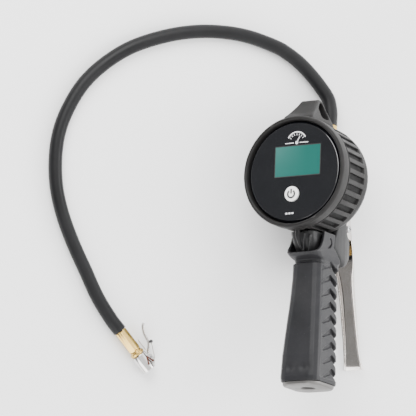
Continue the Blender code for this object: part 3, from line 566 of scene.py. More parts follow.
def shared_group(name):
    """A shared effect, built the first time that it is asked for."""
    makers = {"grain": grain_group, "wear": wear_group, "dust": dust_group,
              "turned": turned_group}
    if name not in GROUPS:
        GROUPS[name] = makers[name]()
    return GROUPS[name]


class Finish:
    """A Principled material that is put together from the shared effects."""

    def __init__(self, name, colour, roughness, metallic=0.0, **constants):
        self.material = bpy.data.materials.new(name)
        self.material.use_nodes = True
        self.tree = self.material.node_tree
        self.shader = self.tree.nodes["Principled BSDF"]
        self.shader.inputs["Base Color"].default_value = (*colour, 1)
        self.shader.inputs["Roughness"].default_value = roughness
        self.shader.inputs["Metallic"].default_value = metallic
        for title, value in constants.items():
            self.shader.inputs[title.replace("_", " ").title().replace("Ior", "IOR")
                               ].default_value = value
        self.colour = colour
        self.colour_source = None
        self.height_source = None

    def effect(self, name, **settings):
        node = self.tree.nodes.new('ShaderNodeGroup')
        node.node_tree = shared_group(name)
        for title, value in settings.items():
            node.inputs[title.replace("_", " ").title()].default_value = value
        return node

    def tint(self, mask, colour, amount=1.0):
        """Mix another colour in where a mask is high."""
        mix = self.tree.nodes.new('ShaderNodeMix')
        mix.data_type = 'RGBA'
        if self.colour_source:
            link(self.tree, self.colour_source, mix.inputs[6])
        else:
            mix.inputs[6].default_value = (*self.colour, 1)
        mix.inputs[7].default_value = (*colour, 1)
        if amount != 1.0:
            mask = math_node(self.tree, 'MULTIPLY', mask, amount)
        link(self.tree, mask, mix.inputs[0])
        self.colour_source = mix.outputs[2]
        return self

    def bump(self, height, distance, strength=1.0):
        node = self.tree.nodes.new('ShaderNodeBump')
        node.inputs["Distance"].default_value = distance * MM
        node.inputs["Strength"].default_value = strength
        link(self.tree, height, node.inputs["Height"])
        if self.height_source:
            link(self.tree, self.height_source, node.inputs["Normal"])
        self.height_source = node.outputs["Normal"]
        return self

    def roughness(self, source):
        link(self.tree, source, self.shader.inputs["Roughness"])
        return self

    def done(self):
        if self.colour_source:
            link(self.tree, self.colour_source, self.shader.inputs["Base Color"])
        if self.height_source:
            link(self.tree, self.height_source, self.shader.inputs["Normal"])
        return self.material


def moulded(name, colour, low, high, worn, grain=900.0, depth=0.05, dust=0.05, **constants):
    """Rubber or plastic: grain, edges rubbed paler, and a little dust."""
    constants.setdefault("specular_ior_level", 0.16)
    finish = Finish(name, colour, (low + high) / 2, **constants)
    grain_node = finish.effect("grain", scale=grain, roughness_low=low, roughness_high=high)
    finish.tint(grain_node.outputs["Mottle"], [c * 1.35 for c in colour], 0.6)
    wear_node = finish.effect("wear")
    finish.tint(wear_node.outputs["Mask"], worn)
    dust_node = finish.effect("dust", amount=dust)
    finish.tint(dust_node.outputs["Mask"], (0.32, 0.31, 0.29))
    finish.roughness(grain_node.outputs["Roughness"])
    finish.bump(grain_node.outputs["Height"], depth)
    return finish.done()


def machined(name, colour, low, high, darker, marks=5000.0, depth=0.012, along=None):
    """Bare or plated metal: tool marks, wandering polish and darker handling marks."""
    along = along or CHUCK.to_3x3() @ Vector((0, 0, 1))
    finish = Finish(name, colour, (low + high) / 2, 1.0)
    grain_node = finish.effect("grain", scale=300.0, roughness_low=low, roughness_high=high)
    turned_node = finish.effect("turned", scale=marks, along_x=along.x, along_y=along.y,
                                along_z=along.z)
    finish.tint(grain_node.outputs["Mottle"], darker, 0.35)
    finish.tint(turned_node.outputs["Streak"], darker, 0.15)
    finish.roughness(grain_node.outputs["Roughness"])
    finish.bump(turned_node.outputs["Height"], depth)
    return finish.done()


FINISHES = {}


def finish_for(name):
    """The finish of a record slot or of a visible detail, made once."""
    settings = looks()
    makers = {
        "rubber": lambda: moulded("Boot rubber", settings.rubber_colour, 0.42, 0.58,
                                  (0.045, 0.043, 0.042)),
        # pocket floors: rubber painted near-black as painted shade for the depth of the pockets
        "pocket_painted_shade": lambda: moulded("Pocket painted shade", (0.0015, 0.0014, 0.0014), 0.6, 0.75,
                                         (0.006, 0.006, 0.006), dust=0.0),
        "grip_rubber": lambda: moulded("Grip rubber", settings.panel_colour, 0.36, 0.50,
                                       (0.05, 0.048, 0.046), 1100.0, 0.04),
        "hose_rubber": lambda: moulded("Hose rubber", settings.hose_colour, 0.34, 0.46,
                                       (0.03, 0.03, 0.03), 900.0, 0.015, 0.012),
        "seal_rubber": lambda: moulded("Seal rubber", (0.02, 0.02, 0.02), 0.4, 0.55,
                                       (0.05, 0.05, 0.05)),
        "black_casting": lambda: moulded("Black powder coat", (0.011, 0.011, 0.0115), 0.36, 0.5,
                                         (0.06, 0.06, 0.06), 1600.0, 0.05, 0.03),
        "black_plastic": lambda: moulded("Black plastic", (0.018, 0.018, 0.02), 0.4, 0.52,
                                         (0.06, 0.06, 0.06), 1800.0, 0.03),
        "machined_alloy": lambda: machined("Machined alloy", (0.17, 0.165, 0.16), 0.42, 0.55,
                                           (0.08, 0.078, 0.075), 2500.0, 0.01,
                                           TOOL.to_3x3() @ Vector((0, 1, 0))),
        "chrome_plate": lambda: machined("Bright chrome", (0.72, 0.71, 0.70), 0.05, 0.14,
                                         (0.42, 0.38, 0.35), 2500.0, 0.001),
        "lever_chrome": lambda: machined("Lever chrome", (0.70, 0.67, 0.64), 0.10, 0.22,
                                         (0.34, 0.29, 0.26), 1500.0, 0.002,
                                         TOOL.to_3x3() @ Vector((1, 0, 0))),
        "clip_nickel": lambda: machined("Satin nickel", (0.50, 0.48, 0.46), 0.2, 0.32,
                                        (0.34, 0.32, 0.30), 2500.0, 0.003),
        # spring legs: near-black metal as painted shade for the shade in the barrel's slot
        "dark_spring": lambda: machined("Spring painted shade", (0.09, 0.035, 0.025), 0.3, 0.45,
                                        (0.05, 0.02, 0.015), 2500.0, 0.003),
        "zinc_plated_steel": lambda: machined("Zinc plated steel", (0.46, 0.46, 0.47), 0.2, 0.34,
                                              (0.26, 0.25, 0.24), 3000.0, 0.006),
        "brass": lambda: machined("Brass", (0.66, 0.46, 0.15), 0.14, 0.26,
                                  (0.40, 0.25, 0.07), 3500.0, 0.004),
        "smoked_lens": lens_finish,
        "printed_face": lambda: moulded("Printed face", (0.01, 0.01, 0.012), 0.3, 0.4,
                                        (0.02, 0.02, 0.02), 1200.0, 0.01),
        "liquid_crystal": display_finish,
        "white_button": lambda: moulded("White button", (0.85, 0.85, 0.83), 0.26, 0.36,
                                        (0.88, 0.88, 0.86), 1500.0, 0.01, 0.02,
                                        specular_ior_level=0.5),
        "silver_print": lambda: moulded("Silver print", (0.62, 0.62, 0.64), 0.3, 0.45,
                                        (0.7, 0.7, 0.7), 1200.0, 0.01),
        "dark_print": lambda: moulded("Dark print", (0.02, 0.02, 0.02), 0.35, 0.5,
                                      (0.04, 0.04, 0.04), 1200.0, 0.01),
        "board": lambda: moulded("Board mask", (0.01, 0.11, 0.04), 0.25, 0.4,
                                 (0.05, 0.2, 0.1), 1500.0, 0.02),
        "cell_jacket": lambda: moulded("Cell jacket", (0.05, 0.07, 0.22), 0.2, 0.32,
                                       (0.2, 0.2, 0.3), 1500.0, 0.01),
    }
    if name not in FINISHES:
        FINISHES[name] = makers[name]()
    return FINISHES[name]


def lens_finish():
    """Smoked acrylic: near black, very smooth, with faint wipe marks."""
    finish = Finish("Smoked acrylic", looks().lens_colour, 0.1, coat_weight=0.6,
                    coat_roughness=0.04, specular_ior_level=0.55)
    grain_node = finish.effect("grain", scale=120.0, roughness_low=0.07, roughness_high=0.16)
    dust_node = finish.effect("dust", amount=0.02, speck_scale=900.0)
    finish.tint(dust_node.outputs["Mask"], (0.3, 0.3, 0.3))
    finish.roughness(grain_node.outputs["Roughness"])
    return finish.done()


def display_finish():
    """Unlit teal glass of the display, with a painted sheen that makes it paler towards its upper
    left.
    """
    finish = Finish("Display glass", looks().display_colour, 0.14, coat_weight=0.5,
                    coat_roughness=0.05)
    place = finish.tree.nodes.new('ShaderNodeTexCoord').outputs["Object"]
    reach = []
    for direction in (TOOL.to_3x3() @ Vector((1, 0, 0)), TOOL.to_3x3() @ Vector((0, 0, 1))):
        dot = finish.tree.nodes.new('ShaderNodeVectorMath')
        dot.operation = 'DOT_PRODUCT'
        dot.inputs[1].default_value = direction
        link(finish.tree, place, dot.inputs[0])
        reach.append(math_node(finish.tree, 'SUBTRACT', dot.outputs["Value"],
                               TOOL.translation.dot(direction)))
    # painted sheen: the display is tinted paler towards its upper left, as where light glances off
    # it
    side = map_range(finish.tree, reach[0], -0.024, 0.012, 1.0, 0.0)
    rise = map_range(finish.tree, reach[1], 0.004, 0.026, 0.35, 1.0)
    finish.tint(math_node(finish.tree, 'MULTIPLY', side, rise), (0.06, 0.16, 0.145), 0.8)
    grain_node = finish.effect("grain", scale=2500.0, roughness_low=0.1, roughness_high=0.18)
    finish.tint(grain_node.outputs["Height"], (0.02, 0.15, 0.125), 0.3)
    finish.roughness(grain_node.outputs["Roughness"])
    return finish.done()


# ---------------------------------------------------------------- gauge head

def boot_profile():
    """Half section of the boot cup, as (radius, height), with softened corners."""
    ribs = BOOT_RADIUS - 0.5
    outline = [
        (BOOT_BORE, BOOT_BACK + BOOT_WALL), (BOOT_BORE, GAP), (BOOT_BORE + 0.3, 0.8 * BOOT_LIP),
        (BOOT_BORE + 1.2, BOOT_LIP), (BOOT_BORE + 2.9, BOOT_LIP), (BOOT_RADIUS, 0.8 * BOOT_LIP),
        (BOOT_RADIUS, -3.2), (BOOT_RADIUS - 1.3, -3.6), (BOOT_RADIUS - 1.4, -5.0),
        (ribs, -5.4), (ribs - 1.0, -35.0), (ribs - 1.9, -35.2), (ribs - 1.9, -36.0),
        (RIM_RADIUS, -36.3), (RIM_RADIUS, -41.0), (RIM_RADIUS - 1.0, BOOT_BACK + 1.8),
        (RIM_RADIUS - 5.0, BOOT_BACK), (REAR_OPENING, BOOT_BACK),
        (REAR_OPENING, BOOT_BACK + BOOT_WALL),
    ]
    rows = rounded_outline(outline, 0.9, 4)
    side = []
    for first, second in zip(rows, rows[1:] + rows[:1]):
        side.append(first)
        if first.y > -8 and second.y < -33:
            for share in (0.03, 0.045, 0.06, 0.08, 0.11, 0.2, 0.35, 0.5, 0.65, 0.8, 0.89,
                          0.92, 0.94, 0.955, 0.97):
                side.append(first.lerp(second, share))
    return side


def boot_cup():
    """The cup, with a pocket sunk between each two ribs round its side, the pocket floors darkened
    as painted shade.
    """
    depth = looks().pocket_depth / MM
    pitch = TURN / POCKETS
    half_shares = (0.0, 0.1, 0.16, 0.185, 0.2, 0.21, 0.22, 0.23, 0.245, 0.27, 0.36, 0.5)
    shares = [-share for share in half_shares[:0:-1]] + list(half_shares)
    angles = [(index + share) * pitch for index in range(POCKETS) for share in shares[1:]]
    rows = boot_profile()
    data = bmesh.new()
    columns = []
    sunk = set()
    for angle in angles:
        off_rib = abs((angle / pitch + 0.5) % 1.0 - 0.5)
        across = smoothstep(0.195, 0.25, off_rib)
        column = []
        for radius, height in rows:
            along = 0.0
            if radius > RIM_RADIUS and POCKET_FOOT < height < POCKET_TOP:
                along = min(smoothstep(POCKET_TOP, POCKET_TOP - POCKET_FADE, height),
                            smoothstep(POCKET_FOOT, POCKET_FOOT + POCKET_FADE, height))
            reach = radius - depth * across * along
            vertex = data.verts.new((reach * math.cos(angle), reach * math.sin(angle), height))
            column.append(vertex)
            if across * along > 0.35:
                sunk.add(vertex)
        columns.append(column)
    for index, column in enumerate(columns):
        following = columns[(index + 1) % len(columns)]
        for row in range(len(rows)):
            after = (row + 1) % len(rows)
            corners = (column[row], following[row], following[after], column[after])
            # faces sunk in the pockets take the second material, the painted shade of the pocket
            # floors
            data.faces.new(corners).material_index = int(sunk.issuperset(corners))
    cup = make_piece("boot_cup", data, finish_for("rubber"), HEAD)
    cup.data.materials.append(finish_for("pocket_painted_shade"))
    return cup


def hanging_loop():
    """The strap over the boot, with a teardrop hole across it."""
    foot, top = BOOT_BORE + 1.0, BOOT_RADIUS + 19.8
    outer = [(-2.0, foot), (2.2, foot + 3.0), (-4.5, foot + 8.6), (-12.0, foot + 15.9),
             (-18.0, top - 1.0), (-22.5, top), (-26.5, top - 0.6), (-30.2, top - 4.0),
             (-33.4, foot + 10.0), (-37.5, foot + 2.0), (-37.0, foot - 1.2)]
    hole = [(-17.5, foot + 6.6), (-22.5, foot + 5.4), (-30.5, foot + 6.2), (-29.6, foot + 12.5),
            (-27.5, foot + 18.0), (-24.8, foot + 20.4), (-21.5, foot + 19.2),
            (-17.0, foot + 13.5)]

    def across(points, foot_half, top_half):
        rings = []
        for share in (-1.0, -0.92, -0.5, 0.0, 0.5, 0.92, 1.0):
            inset = 0.9 if abs(share) == 1.0 else 0.0
            ring = []
            middle = sum(points, Vector((0, 0))) / len(points)
            for point in points:
                rise = smoothstep(foot, top, point.y)
                half = foot_half + (top_half - foot_half) * rise
                shifted = point - (point - middle).normalized() * inset
                ring.append(Vector((share * half, shifted.y, shifted.x)))
            rings.append(ring)
        return rings

    strap = make_piece("hanging_loop", loft(across(curve_points(outer, 6, True), 15.0, 8.6)),
                       finish_for("rubber"), HEAD)
    cutter = make_piece("loop_hole", loft(across(curve_points(hole, 6, True), 22.0, 22.0)),
                        None, HEAD)
    cut_away(strap, cutter)
    strap.data.materials.clear()
    strap.data.materials.append(finish_for("rubber"))
    return moulded_skin(strap, looks().skin_detail, 8)


def lens_disc():
    """Smoked lens with a softened rim and a hole for the button."""
    rise, skirt = LENS_RISE, LENS_RADIUS - LENS_THICKNESS
    edge = rounded_outline([(LENS_RADIUS, -LENS_THICKNESS), (LENS_RADIUS, rise - 2.4),
                            (LENS_RADIUS - 1.2, rise - 1.6), (LENS_RADIUS - 1.7, rise - 0.4),
                            (LENS_RADIUS - 2.3, rise), (20.0, rise)], 0.5, 4, closed=False)
    outline = [(0, rise - LENS_THICKNESS), (skirt, rise - LENS_THICKNESS),
               (skirt, -LENS_THICKNESS)] + [tuple(point) for point in edge] + [(0, rise)]
    lens = make_piece("gauge_lens_disc", lathe(outline, 2 * looks().round_steps),
                      finish_for("smoked_lens"), HEAD)
    hole = lathe([(0, -12), (BUTTON_RADIUS + 0.35, -12), (BUTTON_RADIUS + 0.35, -0.35),
                  (BUTTON_RADIUS + 0.6, 0.01), (BUTTON_RADIUS + 0.6, 3), (0, 3)], 64,
                 matrix=Matrix.Translation((*BUTTON_PLACE, rise)))
    cut_away(lens, make_piece("button_hole", hole, None, HEAD))
    return add_normals(lens)


def add_normals(piece):
    """Keep flat faces flat and round ones round after a cut."""
    piece.data.shade_smooth()
    piece.data.set_sharp_from_angle(angle=SHARP_TURNED)
    return piece


def display_window():
    """The display, flush under the lens, in a thin dark border."""
    width, height = DISPLAY_SIZE
    centre = SEEN_SHIFT + Vector((0, DISPLAY_HEIGHT))
    low, high = LENS_RISE - 0.4, LENS_RISE + 0.03
    glass = slab(rounded_rectangle(width - 0.8, height - 0.8, 0.5, centre), low, high + 0.02,
                 None, 0.02)
    border = slab(rounded_rectangle(width + 0.8, height + 0.8, 0.9, centre), low, high,
                  None, 0.02)
    return [make_piece("display_glass", glass, finish_for("liquid_crystal"), HEAD),
            make_piece("display_border", border, finish_for("dark_print"), HEAD)]


def dial_mark():
    """A plain dial sign above the display: an arc with ticks and a needle."""
    centre, radius = SEEN_SHIFT + Vector((-1.4, 27.4)), 9.6
    low, high = LENS_RISE - 0.3, LENS_RISE + 0.06
    data = bmesh.new()
    band_slab(arc_band(centre, radius, 1.1, 28, 152), low, high, data)
    for index in range(7):
        angle = math.radians(34 + index * 18.7)
        direction = Vector((math.cos(angle), math.sin(angle)))
        inner = Vector(centre) + direction * (radius - 3.0)
        outer = Vector(centre) + direction * (radius - 1.3)
        stroke(inner, outer, 0.55, low, high, data)
    needle = Vector((math.cos(math.radians(62)), math.sin(math.radians(62))))
    stroke(Vector(centre), Vector(centre) + needle * (radius - 3.6), 0.8, low, high, data)
    hub = [(centre[0] + 1.5 * cosine, centre[1] + 1.5 * sine) for cosine, sine in circle()]
    slab(hub, low, high, data, 0.05)
    level = centre[1] - 0.2
    for side in (-1, 1):
        stroke((centre[0] + side * 3.0, level), (centre[0] + side * 11.5, level),
               0.7, low, high, data)
    return make_piece("dial_mark", data, finish_for("silver_print"), HEAD)


def unit_marks():
    """Three small bars below the button, one for each unit it can show."""
    data = bmesh.new()
    for index in range(3):
        left = -9.6 + index * 3.0
        slab(rounded_rectangle(2.1, 1.5, 0.4, SEEN_SHIFT + Vector((left, -36.0))),
             LENS_RISE - 0.3, LENS_RISE + 0.05, data, 0.04)
    return make_piece("unit_marks", data, finish_for("silver_print"), HEAD)


def button_cap():
    """The white button, slightly domed, with a switch sign on it."""
    outline = rounded_outline([(0, -11.5), (1.8, -11.5), (1.8, -9.4), (BUTTON_RADIUS, -9.1),
                               (BUTTON_RADIUS, 1.35), (BUTTON_RADIUS - 1.0, 1.55), (0, 1.7)],
                              0.4, 3, closed=False)
    place = HEAD @ Matrix.Translation(Vector((*BUTTON_PLACE, LENS_RISE)) * MM)
    cap = make_piece("mode_button_cap", lathe([tuple(point) for point in outline], 96),
                     finish_for("white_button"), place)
    low, high = 1.2, 1.82
    data = bmesh.new()
    band_slab(arc_band((0, -0.3), 3.3, 1.5, 128, 412, 40), low, high, data)
    stroke((0, 0.0), (0, 4.2), 1.5, low, high, data)
    sign = make_piece("button_sign", data, finish_for("dark_print"), place)
    return cap, sign


# ---------------------------------------------------------------- casting and grip

def neck_ribs(data):
    """A round post and two thin webs at the front of the neck."""
    post = []
    for height, reach, middle, forward in ((-42.0, 2.3, -3.0, 6.2), (-56.0, 2.2, -2.6, 9.0),
                                           (-63.5, 1.4, -1.6, 12.0), (-67.5, 0.5, -0.9, 14.5)):
        post.append([Vector((middle + reach * cosine, forward + 1.0 + reach * sine, height))
                     for cosine, sine in circle()])
    loft(post, data)
    for start, end in (((4.6, 8.6, -53.0), (1.2, 13.2, -68.0)), ((9.2, 10.5, -54.0),
                                                               (5.4, 15.2, -69.0))):
        rings = []
        for point, half in ((start, 0.5), (end, 0.45)):
            rings.append([Vector(point) + Vector((x, y, 0)) for x, y in (
                (-half, -0.9), (half, -0.9), (half, 2.5), (-half, 2.5))])
        loft(rings, data)
    return data


def casting():
    """The black casting: its solid with the neck's post and webs, edges softened."""
    data = neck_ribs(solid_copy("valve_body", TOOL))
    skin = make_piece("casting_skin", data, finish_for("black_casting"), TOOL)
    return moulded_skin(skin, looks().skin_detail, 6)


def side_edge(height):
    """Where the smooth front panel ends along the grip's side."""
    return blend_table([(-77.0, 24.5), (-120.0, 21.5), (-150.0, 19.5), (-183.0, 16.5)], height)[0]


def grip():
    """The rubber sleeve: a smooth front panel, lower ribbed sides and soft dents."""
    data = solid_copy("grip_sleeve", TOOL)
    skin = make_piece("grip_skin", data, finish_for("grip_rubber"), TOOL)
    cut_away(skin, *wing_marks())
    skin.data.materials.clear()
    skin.data.materials.append(finish_for("grip_rubber"))
    moulded_skin(skin, looks().skin_detail * 0.9, 4)
    inward = TOOL.inverted()
    for vertex in skin.data.vertices:
        spot = inward @ vertex.co
        x, y, z = (value / MM for value in spot)
        if -180.5 < z < -78.5 and abs(x) > 11.0:
            side = smoothstep(side_edge(z), side_edge(z) + 1.3, y)
            ends = smoothstep(-180.5, -178.5, z) * (1 - smoothstep(-80.5, -78.5, z))
            spot.x -= math.copysign(0.75 * side * ends, x) * MM
        if y < 24 and z < -150:
            for middle in (-7.0, 6.5):
                dent = math.exp(-((x - middle) / 4.2) ** 2 - ((z + 172.0) / 3.6) ** 2)
                spot.y += 1.3 * dent * MM
        vertex.co = TOOL @ spot
    skin.data.update()
    return skin


def wing_marks():
    """The hooked groove on each wing of the grip."""
    marks = []
    for side in (-1, 1):
        path = [Vector((side * 16.4, y, z)) for y, z in (
            (34.6, -53.4), (36.9, -55.0), (37.0, -58.4), (34.2, -61.2), (31.0, -62.4))]
        rings = []
        points = curve_points(path, 5)
        for index, point in enumerate(points):
            ahead = points[min(index + 1, len(points) - 1)]
            before = points[max(index - 1, 0)]
            along = (ahead - before).normalized()
            out = Vector((side, 0, 0))
            across = along.cross(out).normalized()
            rings.append([point + across * a * 0.9 + out * b for a, b in (
                (-1, -1.6), (1, -1.6), (1, 3), (-1, 3))])
        marks.append(make_piece(f"wing_mark_{side}", loft(rings), None, TOOL))
    return marks


# ---------------------------------------------------------------- inlet and lever

def inlet_end():
    """Machined end plate of the grip, with a threaded hole."""
    def plate_ring(height, inset):
        half_x, front, back, corner = 19.4 - inset, 10.3 + inset, 53.5 - inset, 11.0
        return [Vector((x, y, height)) for x, y in rounded_rectangle(
            2 * half_x, back - front, corner, (0, (front + back) / 2), 10)]

    top = GRIP_BOTTOM - GAP
    rings = [plate_ring(height, inset) for height, inset in (
        (top - 3.4, 2.1), (top - 3.2, 1.6), (top - 2.4, 0.95), (top - 2.0, 0.8), (top - 0.3, 0.6),
        (top, 0.9))]
    plate = make_piece("inlet_end_plate", loft(rings), finish_for("machined_alloy"), TOOL)
    thread = [(0, top - 8), (INLET_RADIUS + 1.0, top - 8), (INLET_RADIUS + 1.0, top - 3.6),
              (INLET_RADIUS, top - 2.6)]
    for turn in range(3):
        low = top - 2.2 + turn * 0.9
        thread += [(INLET_RADIUS + 0.5, low), (INLET_RADIUS, low + 0.45)]
    thread += [(INLET_RADIUS, top + 2), (0, top + 2)]
    hole = lathe(thread, 64, matrix=Matrix.Translation((0, INLET_BACK, 0)))
    cut_away(plate, make_piece("inlet_hole", hole, None, TOOL))
    spigot = [(8.3, top + 10.5), (8.3, top - 0.2)]
    for turn in range(11):
        low = top - 0.2 + turn * 0.95
        spigot += [(INLET_RADIUS, low), (INLET_RADIUS + 0.5, low + 0.45)]
    spigot += [(INLET_RADIUS, top + 10.5)]
    tube = make_piece("inlet_thread", lathe(spigot, 64,
                                            matrix=Matrix.Translation((0, INLET_BACK, 0))),
                      finish_for("machined_alloy"), TOOL)
    return add_normals(plate), tube


def lever_blade():
    """Pressed lever: round ears, a curved web and a flared lip, with rolled edges."""
    back, up = PIVOT
    table = [(up - 9.1, 88.4, 3.2, LEVER_HALF), (-52.0, 90.2, 2.4, LEVER_HALF),
             (-60.0, 92.6, 2.4, 9.9), (-68.0, 95.2, 3.6, 9.2), (-76.0, 97.8, 5.6, 8.2),
             (-86.0, 100.8, 6.0, 7.5), (-100.0, 104.2, 5.6, 7.2), (-120.0, 108.6, 4.8, 7.3),
             (-136.0, 111.8, 3.8, 7.6), (-148.0, 114.2, 3.0, 8.3), (-153.0, 115.8, 2.6, 9.0),
             (-156.5, 117.8, 2.4, 9.6)]
    stations = []
    for share in range(25):
        angle = math.radians(-86 + 172 * share / 24)
        height = up - EAR_RADIUS * math.sin(angle)
        web = 86.0 + 1.75 * (up - height) / EAR_RADIUS
        stations.append((height, web, web - (back - EAR_RADIUS * math.cos(angle)), LEVER_HALF))
    smooth = curve_points([Vector(row[:3]) for row in table], 6)
    halves = curve_points([Vector((row[0], row[3], 0)) for row in table], 6)
    for point, half in zip(smooth, halves):
        stations.append((point.x, point.y, point.z, half.y))
    rings = []
    wall = LEVER_GAUGE
    radii = (0.55, 2.0, 2.0, 0.55, 0.55, 0.8, 0.8, 0.55)
    for height, web, depth, half in stations:
        edge = web - depth
        outline = [(-half, edge), (-half, web), (half, web), (half, edge),
                   (half - wall, edge), (half - wall, web - wall), (-half + wall, web - wall),
                   (-half + wall, edge)]
        ring = []
        corners = [Vector(point) for point in outline]
        for index, corner in enumerate(corners):
            after = corners[(index + 1) % len(corners)]
            ring += [Vector((*spot, height)) for spot in round_corner(
                corners[index - 1], corner, after, radii[index], 5, 0.48)]
        rings.append(ring)
    return make_piece("lever_blade", loft(rings), finish_for("lever_chrome"), TOOL)


def lever_pin():
    """Pan-head screw with a cross recess, and the nut on its other end."""
    side = TOOL @ Matrix.Translation(Vector((0, *PIVOT)) * MM) @ Matrix.Rotation(
        QUARTER, 4, 'Y')
    face = LEVER_HALF + GAP
    head = rounded_outline([(0, -face - 3.0), (2.0, -face - 3.0), (2.0, face), (3.3, face),
                            (3.3, face + 1.2), (2.3, face + 1.95), (0, face + 2.0)], 0.3, 3, False)
    screw = make_piece("lever_screw_head", lathe([tuple(p) for p in head], 48),
                       finish_for("zinc_plated_steel"), side)
    for width, height in ((4.2, 0.85), (0.85, 4.2)):
        cross = bmesh.new()
        loft([[Vector((x, y, level)) for x, y in rounded_rectangle(width, height, 0.3, steps=2)]
              for level in (face + 0.75, face + 4.0)], cross)
        cut_away(screw, make_piece("cross_recess", cross, None, side))
    nut = hexagon("lever_lock_nut", 3.8, -face - 2.4, -face, "zinc_plated_steel", side, 2.2)
    return add_normals(screw), nut


def hexagon(name, across, low, high, slot, place, bore, turn=0.0, chamfer=0.35):
    """A hexagon with chamfered corners and a round bore."""
    rings = []
    flat = across * math.cos(math.pi / 6)
    trimmed = 0.985
    for height, limit in ((low, flat * trimmed), (low + chamfer * 1.4, across),
                          (high - chamfer * 1.4, across), (high, flat * trimmed)):
        ring = []
        for step in range(HEXAGON_STEPS):
            angle = TURN * step / HEXAGON_STEPS
            sector = (angle + math.pi / 6) % (math.pi / 3) - math.pi / 6
            reach = min(flat / math.cos(math.pi / 6 - abs(sector)), across * trimmed, limit)
            ring.append(Vector((reach * math.cos(angle + turn), reach * math.sin(angle + turn),
                                height)))
        rings.append(ring)
    rings += [[Vector((bore * cosine, bore * sine, height))
               for cosine, sine in circle(HEXAGON_STEPS, turn)] for height in (high, low)]
    rings.append(rings[0])
    piece = make_piece(name, loft(rings, caps=False), finish_for(slot), place)
    piece.data.set_sharp_from_angle(angle=SHARP_HEXAGON)
    return piece


# ---------------------------------------------------------------- hose and chuck

def hose_line():
    """The hose's centreline, in metres, from its fitting to the chuck's ferrule."""
    exit_point = TOOL @ (Vector((0, COLUMN_BACK, HEX_TOP + GAP)) * MM)
    along = (TOOL.to_3x3() @ Vector((0, 0, 1))).normalized()
    final = Vector((math.cos(CHUCK_HEADING), math.sin(CHUCK_HEADING), 0))
    points = [exit_point, exit_point + along * 12 * MM]
    points += [Vector(point) * MM for point in HOSE_ROUTE]
    points += [CHUCK_PLACE - final * 14 * MM, CHUCK_PLACE]
    return curve_points(points, 8)


def hose():
    """The air hose, as one smooth tube."""
    line = hose_line()
    curve = bpy.data.curves.new("air_hose", 'CURVE')
    curve.dimensions = '3D'
    curve.bevel_depth = HOSE_RADIUS * MM
    curve.bevel_resolution = 10
    curve.use_fill_caps = True
    spline = curve.splines.new('POLY')
    spline.points.add(len(line) - 1)
    for point, place in zip(spline.points, line):
        point.co = (*place, 1.0)
    spline.use_smooth = True
    curve.materials.append(finish_for("hose_rubber"))
    piece = bpy.data.objects.new("air_hose", curve)
    bpy.context.collection.objects.link(piece)
    length = sum((b - a).length for a, b in zip(line, line[1:]))
    return piece, line[0], length


def turned_piece(name, outline, slot, place, radius=0.3):
    """A lathe piece with softened corners."""
    shape = [tuple(point) for point in rounded_outline(outline, radius, 3)]
    return make_piece(name, lathe(shape, looks().round_steps), finish_for(slot), place)


def bent_strip(name, path, thickness, half_width, slot, place, steps=8):
    """A strip bent along a smooth path of (along, out), with rounded edges."""
    points = curve_points([Vector(point) for point in path], steps)
    rings = []
    for index, point in enumerate(points):
        ahead = points[min(index + 1, len(points) - 1)]
        before = points[max(index - 1, 0)]
        heading = (ahead - before).normalized()
        normal = Vector((-heading.y, heading.x))
        taper = min(1.0, 0.62 + 0.12 * min(index, len(points) - 1 - index))
        section = rounded_rectangle(2 * half_width * taper, thickness, thickness * 0.42, steps=3)
        rings.append([Vector((point.y + normal.y * b, a, point.x + normal.x * b))
                      for a, b in section])
    return make_piece(name, loft(rings), finish_for(slot), place)


def chuck_barrel():
    """Chromed barrel with an open side; the two ears for the clip are separate pieces."""
    outline = rounded_outline(
        [(2.0, CHUCK_START), (CHUCK_RADIUS, CHUCK_START), (CHUCK_RADIUS, CHUCK_END),
         (CHUCK_BORE, CHUCK_END), (CHUCK_BORE, CHUCK_SEAT), (2.0, CHUCK_SEAT)], 0.6, 4)
    barrel = make_piece("chuck_barrel", lathe([tuple(p) for p in outline], 128),
                        finish_for("chrome_plate"), CHUCK)
    half = EAR_GAP_HALF
    slot = loft([[Vector((x, y, height)) for x, y in ((3.1, -half), (12, -half), (12, half),
                                                      (3.1, half))]
                 for height in (CHUCK_START + 2.6, CHUCK_END + 3)])
    cut_away(barrel, make_piece("clip_slot", slot, None, CHUCK))
    return add_normals(barrel)


def chuck_ears():
    """The two ears that carry the clip's pin."""
    ears = []
    for index, side in enumerate((-1, 1)):
        outline = [(CHUCK_START + 3.4, 4.2), (CHUCK_START + 3.4, 7.2), (CHUCK_START + 5.2, 9.2),
                   (CHUCK_START + 10.2, 9.4), (CHUCK_END - 2.2, 7.4), (CHUCK_END - 2.2, 4.2)]
        shape = rounded_outline(outline, 1.6, 4)
        inner, outer = side * EAR_GAP_HALF, side * (EAR_GAP_HALF + 1.3)
        rings = [[Vector((point.y, y, point.x)) for point in shape]
                 for y in sorted((inner, outer))]
        ear = make_piece(f"chuck_ear_{index + 1}", loft(rings), finish_for("chrome_plate"), CHUCK)
        ears.append(add_bevel(ear, 0.25, 2))
    return ears


